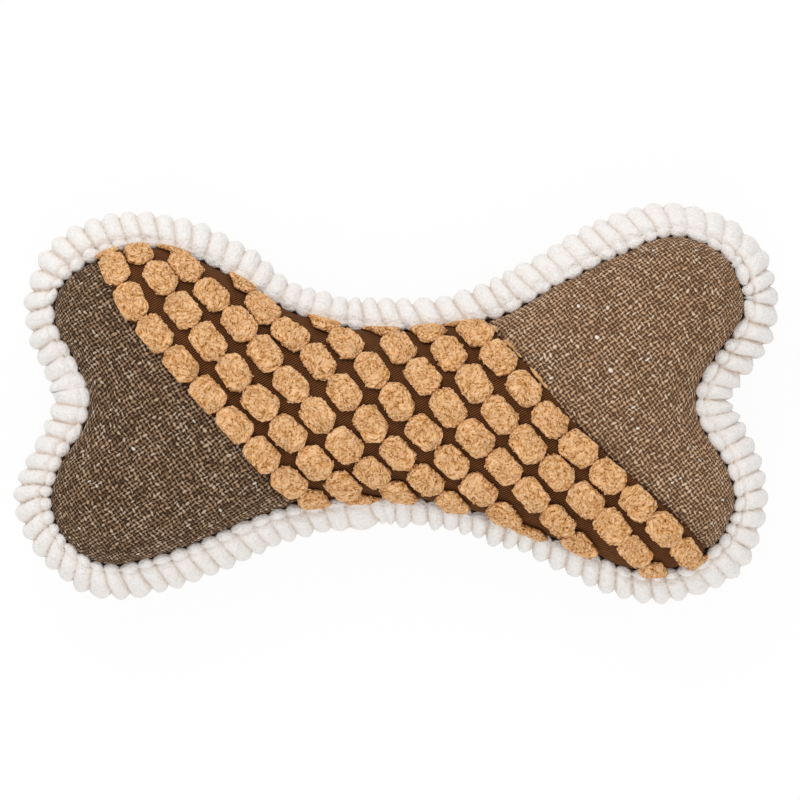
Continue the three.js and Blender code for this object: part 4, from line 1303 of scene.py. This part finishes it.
@dataclass
class BorderRoll:
    """The ribbed plush strip that is sewn all round between the front and the back."""

    body: Body
    stations: int = 1560
    around: int = 64
    narrow: float = 9.0
    wide: float = 16.0
    depth: float = 2.7
    overhang: float = 0.75  # of the folded inner ends over the seam
    join_share: float = 0.735
    crumple_run: float = 15.0  # how far to each side of the join the plush is crumpled
    pinch: float = 2.3  # depth of the fold across a rib
    knob: float = 0.6  # how far a rib swells between the seam and the fold

    def section(self, reach: float) -> Array:
        """The roll's section as [out, up] points from the front seam round to the back seam."""
        half = (self.body.front_level - self.body.back_level) / 2
        upper = np.array([
            (-0.35, half - 2.6), (0.15, half - 0.1), (1.1, half + 1.25), (0.24 * reach, half + 1.75),
            (0.52 * reach, half + 0.3), (0.8 * reach, 0.66 * half), (0.96 * reach, 0.3 * half),
        ])
        lower = (upper * (1, -1))[::-1]
        curve = through(np.vstack([upper, [(reach, 0)], lower]))
        lengths = walked(curve)
        return along(curve, lengths, np.linspace(0, lengths[-1], self.around + 1))

    def counted(self, plain: Array, ends: Array) -> Array:
        """How many ribs lie before each share of the plain outline's length, by where the grooves end."""
        ends = np.concatenate([ends[-2:] - 1, ends, ends[:2] + 1])
        return np.interp(plain, ends, np.arange(-2, len(ends) - 2))

    def build(self) -> bpy.types.Object:
        """Makes the roll."""
        outline = self.body.outline
        mesh = finish_shape(grid_shape(self.stations, self.around), "border_strip")
        shares = read_places(mesh)[:, :2]
        plan, _ = outline.stations(shares[:, 0])
        plain = outline.plain_share(shares[:, 0])
        side = outline.plain_side(plain)
        seam, fold = (outline.read_off(reading, plain) for reading in Reading)
        outer, inner, depths, reaches = np.array(RIB_READINGS, float).T
        total = len(outer)
        first, last = self.counted(plain, inner / 1e4), self.counted(plain, outer / 1e4)
        reach = np.interp(last - 0.5, np.arange(total), reaches / 10, period=total)
        swell = (reach - seam - self.narrow) / (self.wide - self.narrow)
        row = np.rint(shares[:, 1] * self.around).astype(int)
        narrow, wide = self.section(self.narrow), self.section(self.wide)
        place = narrow[row] * (1 - swell[:, None]) + wide[row] * swell[:, None]
        tangent = np.gradient((narrow + wide) / 2, axis=0)[row]
        tangent /= np.linalg.norm(tangent, axis=1, keepdims=True)
        normal = np.column_stack([-tangent[:, 1], tangent[:, 0]])
        inwardness = np.minimum(shares[:, 1], 1 - shares[:, 1]) * 2
        ring = np.column_stack([np.cos(2 * np.pi * shares[:, 0]), np.sin(2 * np.pi * shares[:, 0])])
        loose = (1 - ramp_up(inwardness, 0.16, 0.36)) * (0.2 + fold)
        way = np.clip((inwardness - 0.15) / 0.6, 0, 1)
        phase = first + (last - first) * way + 0.3 * noise(ring * 12, 1.0, 14) * loose
        rib = np.floor(phase)
        across = np.abs(2 * (phase - rib) - 1)
        crest = 0.55 * (1 - across**2) + 0.45 * np.sqrt(np.maximum(1 - across**2, 0))
        depths_here = depths[np.rint(phase).astype(int) % total] / 10
        depth = self.depth * depths_here
        off = np.abs(shares[:, 0] - self.join_share) * outline.length
        crumpled = np.exp(-((off / self.crumple_run) ** 2))
        own = lattice(np.column_stack([rib % total, np.zeros(len(rib))]), 21) - 0.5
        where = lattice(np.column_stack([rib % total, np.ones(len(rib))]), 21) - 0.5
        folded = 0.2 + 0.1 * fold + 0.06 * where + 0.03 * crest
        crossing = fold * np.exp(-np.abs((inwardness - folded) / 0.045) ** 1.5)
        pinch = self.pinch * crossing * (0.8 + 0.6 * own)
        knob = self.knob * fold * np.exp(-(((inwardness - 0.6 * folded) / 0.07) ** 2)) * crest
        spot = np.column_stack([plan + side * place[:, :1], place[:, 1]])
        soft = 0.3 * noise(spot, 6.5, 16) + 0.16 * noise(spot, 2.4, 17) + 0.12 * noise(spot, 1.2, 18)
        soft += crumpled * 0.9 * noise(spot, 4.2, 23)
        sink = -depth * (1 - 0.3 * crumpled) * (1 - crest) + 0.3 * own * crest - pinch + knob + soft
        sink = np.where(sink < 0, sink * (0.5 + 0.5 * ramp_up(inwardness, 0.06, 0.26)), sink)
        sink *= ramp_up(inwardness, 0.0, 0.03)
        place = place + normal * sink[:, None]
        place[:, 0] -= self.overhang * crest * np.exp(-(((inwardness - 0.13) / 0.06) ** 2))
        points = np.column_stack([plan + side * place[:, :1], self.body.middle + place[:, 1]])
        write_places(mesh, points)
        # painted shade: darker in the grooves, over the fold across a rib and, most of all, in the crease at
        # each seam
        groove = np.maximum(np.clip(1 - crest, 0, 1) ** 1.4 * depths_here, 0.75 * crossing)
        write_attribute(mesh, "groove", groove + 0.9 * np.exp(-((inwardness / 0.05) ** 2)))
        close_seams(mesh)
        return set_piece(mesh, ("border_strip",), Plush().material())


@dataclass
class SewnLine:
    """A sewing thread along a line, drawn in at each stitch."""

    name: str
    points: Array
    lifts: Array
    material: bpy.types.Material
    closed: bool = False
    radius: float = 0.55
    stitch: float = 3.2
    depth: float = 0.35
    around: int = 8

    def build(self) -> bpy.types.Object:
        """Makes the thread."""
        lengths = walked(self.points)
        total = lengths[-1]
        stitches = max(int(round(total / self.stitch)), 1)
        columns = stitches * 8
        mesh = finish_shape(grid_shape(columns, self.around), self.name)
        shares = read_places(mesh)[:, :2]
        at = shares[:, 0] * total
        here = along(self.points, lengths, at)
        step = 0.4
        ahead, behind = at + step, at - step
        if self.closed:
            ahead, behind = ahead % total, behind % total
        else:
            ahead, behind = np.minimum(ahead, total), np.maximum(behind, 0)
        way = along(self.points, lengths, ahead) - along(self.points, lengths, behind)
        way /= np.linalg.norm(way, axis=1, keepdims=True)
        lift = along(self.lifts, lengths, at)
        side = np.cross(way, lift)
        side /= np.linalg.norm(side, axis=1, keepdims=True)
        lift = np.cross(side, way)
        wave = np.abs(np.cos(np.pi * shares[:, 0] * stitches))
        draw = -self.depth * wave**6
        thick = self.radius * (1 - 0.45 * wave**8)
        if not self.closed:
            thick = thick * np.sqrt(np.clip(np.minimum(at, total - at) / self.radius, 0, 1))
        angle = 2 * np.pi * shares[:, 1]
        points = (here + lift * (draw + thick * np.cos(angle))[:, None]
                  + side * (thick * np.sin(angle))[:, None])
        write_uv(mesh, np.column_stack([at, shares[:, 1]]))
        write_places(mesh, points)
        close_seams(mesh)
        return set_piece(mesh, (self.name,), self.material)


@dataclass
class Sewing:
    """All the threads: in the two seams, over the border's join and along the band."""

    body: Body
    crease_out: float = 0.3
    crease_rise: float = -0.4
    closing_shares: tuple[float, float] = (0.7, 0.775)
    join_share: float = 0.735

    def crease(self, side: Side, start: float, end: float) -> tuple[Array, Array]:
        """Points in the crease of a seam between two shares of its length, and their outward directions."""
        shares = np.linspace(start, end, max(int((end - start) * 700), 40))
        plan, out = self.body.outline.stations(shares)
        level = self.body.front_level if side is Side.FRONT else self.body.back_level
        points = np.column_stack([plan + out * self.crease_out,
                                  np.full(len(plan), level + side.value * self.crease_rise)])
        lifts = np.column_stack([out * 0.35, np.full(len(plan), float(side.value))])
        return points, lifts

    def band_line(self, seam: BandSeam) -> tuple[Array, Array]:
        """Points on the cloth along one of the band's seams, and their outward directions."""
        face = self.body.front
        plan = seam.line[self.body.outline.distance(seam.line) > 1.6]
        flat = face.unfold(plan)
        points = face.place(flat, -1.3)
        return points, face.place(flat, 1.0) - face.place(flat, 0.0)

    def join_line(self) -> tuple[Array, Array]:
        """Points over the border's join, and their outward directions."""
        plan, out = self.body.outline.stations(np.array([self.join_share]))
        section = BorderRoll(self.body).section(12.0)[6:-6]
        points = np.column_stack([plan + out * (section[:, :1] - 2.8), self.body.middle + section[:, 1]])
        tangent = np.gradient(section, axis=0)
        lifts = np.column_stack([out * -tangent[:, 1:], tangent[:, :1]])
        return points, lifts

    def build(self) -> None:
        """Makes every thread."""
        dark = Thread().material()
        brown = Thread("band_thread", (0.030, 0.012, 0.008), (0.115, 0.048, 0.030)).material()
        pale = Thread("join_thread", (0.50, 0.44, 0.40), (0.78, 0.73, 0.69)).material()
        start, end = self.closing_shares
        gap = 0.0006
        SewnLine("front_seam_thread", *self.crease(Side.FRONT, 0, 1), dark, closed=True, radius=0.5).build()
        SewnLine("back_seam_thread", *self.crease(Side.BACK, end + gap, 1 + start - gap), dark,
                 radius=0.5).build()
        SewnLine("closing_stitch", *self.crease(Side.BACK, start + gap, end - gap), dark, radius=0.65,
                 stitch=4.6, depth=0.6).build()
        SewnLine("border_join_thread", *self.join_line(), pale, radius=0.45, stitch=2.4).build()
        for name, seam in (("band_seam_thread_left", self.body.left_seam),
                           ("band_seam_thread_right", self.body.right_seam)):
            SewnLine(name, *self.band_line(seam), brown, radius=0.42, stitch=2.6).build()


@dataclass
class Filling:
    """The fibre filling: the frame's two halves, puffed out by a short cloth simulation."""

    body: Body
    margin: float = 1.8
    voxel: float = 0.005
    pressure: float = 4.0
    frames: int = 20
    cap: float = 0.0015
    inset: float = 0.0012
    tuft_size: float = 6.0
    tuft_height: float = 0.4

    def half(self, node: str) -> bpy.types.Object:
        """One half, from a merged copy of the frame's own."""
        shape = bmesh.new()
        shape.from_mesh(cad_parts[node].data)
        bmesh.ops.remove_doubles(shape, verts=shape.verts, dist=1e-6)
        mesh = finish_shape(shape, node.replace("filling", "fibre"))
        piece = bpy.data.objects.new(mesh.name, mesh)
        bpy.context.scene.collection.objects.link(piece)
        remesh = piece.modifiers.new("even", "REMESH")
        remesh.mode, remesh.voxel_size = "VOXEL", self.voxel
        self.apply(piece)
        return piece

    def apply(self, piece: bpy.types.Object) -> None:
        """Turns a piece's live modifiers into its own mesh."""
        graph = bpy.context.evaluated_depsgraph_get()
        mesh = bpy.data.meshes.new_from_object(piece.evaluated_get(graph))
        piece.modifiers.clear()
        piece.data = mesh

    def puff(self, piece: bpy.types.Object) -> None:
        """Blows the piece up a little under pressure, and keeps every point near where it was."""
        start = read_places(piece.data)
        cloth = piece.modifiers.new("cloth", "CLOTH")
        cloth.settings.use_pressure = True
        cloth.settings.uniform_pressure_force = self.pressure
        cloth.settings.effector_weights.gravity = 0
        cloth.settings.quality = 5
        scene = bpy.context.scene
        for number in range(1, self.frames + 1):
            scene.frame_set(number)
        self.apply(piece)
        moved = read_places(piece.data) - start
        reach = np.linalg.norm(moved, axis=1, keepdims=True)
        moved *= np.minimum(1, self.cap / np.maximum(reach, 1e-9))
        piece.data.vertices.foreach_set("co", (start + moved).ravel())
        scene.frame_set(1)

    def held(self, places: Array, face: Face) -> Array:
        """The same points, with none of them outside the seam or within the margin of the cloth."""
        outline = self.body.outline
        inward = outline.distance(places[:, :2])
        pull = outline.look_up(outline.slopes, places[:, :2])
        plan = places[:, :2] + pull * np.maximum(self.margin - inward, 0)[:, None]
        side = face.side.value
        room = side * face.level + face.rise(np.maximum(inward, self.margin)) - self.margin
        return np.column_stack([plan, side * np.minimum(side * places[:, 2], room)])

    def build(self) -> None:
        """Makes both halves."""
        material = Fibre().material()
        for node, face in (("filling_front", self.body.front), ("filling_back", self.body.back)):
            piece = self.half(node)
            self.puff(piece)
            start = read_places(piece.data) / MM
            tufts = noise(start, self.tuft_size, 40) * self.tuft_height
            normals = np.empty(len(piece.data.vertices) * 3)
            piece.data.vertices.foreach_get("normal", normals)
            places = start + normals.reshape(-1, 3) * (tufts - self.inset / MM)[:, None]
            places = self.held(places, face)
            mesh = piece.data.copy()
            mesh.name = piece.name
            bpy.data.objects.remove(piece)
            write_places(mesh, places)
            mesh.name = node.replace("filling", "fibre")
            set_piece(mesh, (node,), material)


@dataclass
class Squeaker:
    """The squeaker's own CAD pieces, which stay, in moulded plastic."""

    nodes: tuple[str, ...] = ("squeaker_base", "squeaker_reed_holder", "squeaker_bellows")
    stroke: float = 0.009

    def dress(self) -> None:
        """Gives each piece its finish, and gives the bellows a mesh of its own."""
        milky = MouldedPlastic("milky_plastic", (0.78, 0.77, 0.71), (0.66, 0.65, 0.58), 0.38).material()
        clear = MouldedPlastic("reed_plastic", (0.72, 0.73, 0.72), (0.6, 0.61, 0.6), 0.22).material()
        for name in (*self.nodes, "squeaker_reed"):
            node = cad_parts[name]
            finish = clear if name == "squeaker_reed" else milky
            if not node.data.materials:
                node.data.materials.append(finish)
            for place in node.material_slots:
                place.link = "DATA"
                place.material = finish
            log.info("%s: dressed", name)
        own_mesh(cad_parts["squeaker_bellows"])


@dataclass
class Studio:
    """The pale floor, the soft light and the camera straight above."""

    body: Body
    height: float = 2.2
    lens: float = 248.0
    ambient: float = 0.82
    half_floor: float = 2.0
    middle: tuple[float, float] = (0.00176, 0.00098)  # where the picture's middle falls on the floor
    lamps: tuple[tuple[str, tuple[float, float, float], float, float], ...] = (
        ("key", (-0.35, 0.8, 1.0), 0.4, 4.7), ("fill", (0.1, -0.9, 1.0), 0.9, 2.9),
    )  # each one's name, place, size and power

    def floor(self) -> None:
        """Lays the floor: plain white to the camera, with the toy's shadow on it."""
        shape = bmesh.new()
        bmesh.ops.create_grid(shape, x_segments=1, y_segments=1, size=self.half_floor)
        floor = bpy.data.objects.new("floor", finish_shape(shape, "floor"))
        bpy.context.scene.collection.objects.link(floor)
        nodes = Nodes("pale_floor")
        path = nodes.add("ShaderNodeLightPath").outputs
        seen = Num(nodes, path["Is Camera Ray"]).larger(Num(nodes, path["Is Glossy Ray"]))
        seen = seen.larger(Num(nodes, path["Is Transmission Ray"]))
        matt = nodes.add("ShaderNodeBsdfDiffuse", None, {"Color": (0.92, 0.92, 0.92)})
        bright = nodes.add("ShaderNodeEmission", None, {"Color": (1.0, 1.0, 1.0), "Strength": 1.0})
        mixed = nodes.add("ShaderNodeMixShader", None,
                          {0: seen * 0.95, 1: matt.outputs[0], 2: bright.outputs[0]})
        nodes.add("ShaderNodeOutputMaterial", None, {0: mixed.outputs[0]})
        floor.data.materials.append(nodes.material)

    def world(self) -> None:
        """Lights the scene evenly from all round, and shows white behind it."""
        world = bpy.data.worlds.new("studio")
        bpy.context.scene.world = world
        world.use_nodes = True
        tree = world.node_tree
        tree.nodes.clear()
        path = tree.nodes.new("ShaderNodeLightPath")
        seen = tree.nodes.new("ShaderNodeMath")
        seen.operation = "MAXIMUM"
        tree.links.new(path.outputs["Is Camera Ray"], seen.inputs[0])
        tree.links.new(path.outputs["Is Transmission Ray"], seen.inputs[1])
        strength = tree.nodes.new("ShaderNodeMapRange")
        strength.inputs["To Min"].default_value = self.ambient
        strength.inputs["To Max"].default_value = 1.0
        tree.links.new(seen.outputs[0], strength.inputs["Value"])
        sky = tree.nodes.new("ShaderNodeBackground")
        tree.links.new(strength.outputs[0], sky.inputs["Strength"])
        sky.inputs["Color"].default_value = (1.0, 1.0, 1.0, 1.0)
        out = tree.nodes.new("ShaderNodeOutputWorld")
        tree.links.new(sky.outputs[0], out.inputs["Surface"])

    def lamp(self, name: str, place: tuple[float, float, float], size: float, power: float) -> None:
        """Hangs a soft square lamp that shines on the toy."""
        light = bpy.data.lights.new(name, "AREA")
        light.size, light.energy = size, power
        lamp = bpy.data.objects.new(name, light)
        lamp.location = place
        lamp.rotation_euler = (-Vector(place)).to_track_quat("-Z", "Y").to_euler()
        bpy.context.scene.collection.objects.link(lamp)

    def camera(self) -> None:
        """Looks straight down, with the toy as large as in the photograph."""
        data = bpy.data.cameras.new("camera")
        data.lens, data.sensor_width = self.lens, 36.0
        camera = bpy.data.objects.new("camera", data)
        camera.location = (*self.middle, self.height)
        bpy.context.scene.collection.objects.link(camera)
        bpy.context.scene.camera = camera

    def build(self) -> None:
        """Sets the scene."""
        self.floor()
        self.world()
        for lamp in self.lamps:
            self.lamp(*lamp)
        self.camera()
        bpy.context.scene.view_settings.view_transform = "Standard"


def main() -> None:
    """Builds the toy's looks in order."""
    logging.basicConfig(level=logging.INFO, format="%(message)s")
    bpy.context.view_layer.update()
    body = Body()
    Studio(body).build()
    panels = (
        ClothPanel("front_panel_left", "burlap", body, body.front, Region.LEFT, Burlap(), yarn_angle=34.5),
        ClothPanel("front_panel_right", "burlap", body, body.front, Region.RIGHT,
                   Burlap("light_burlap_weave", light=2.9), yarn_angle=37.0),
        ClothPanel("back_panel", "burlap", body, body.back, Region.WHOLE, Burlap(), yarn_angle=2.0),
        ClothPanel("band_ground", "knit", body, body.front, Region.BAND, Knit(), yarn_angle=-59.0, step=0.8,
                   yarn_pitch=1.0, relief=0.0),
    )
    for panel in panels:
        panel.build()
    pile = Pile().material()
    for index in range(len(PadRow.start_shares)):
        PadRow(index, body, pile).build()
    BorderRoll(body).build()
    Sewing(body).build()
    Filling(body).build()
    Squeaker().dress()


if __name__ == "__main__":
    main()
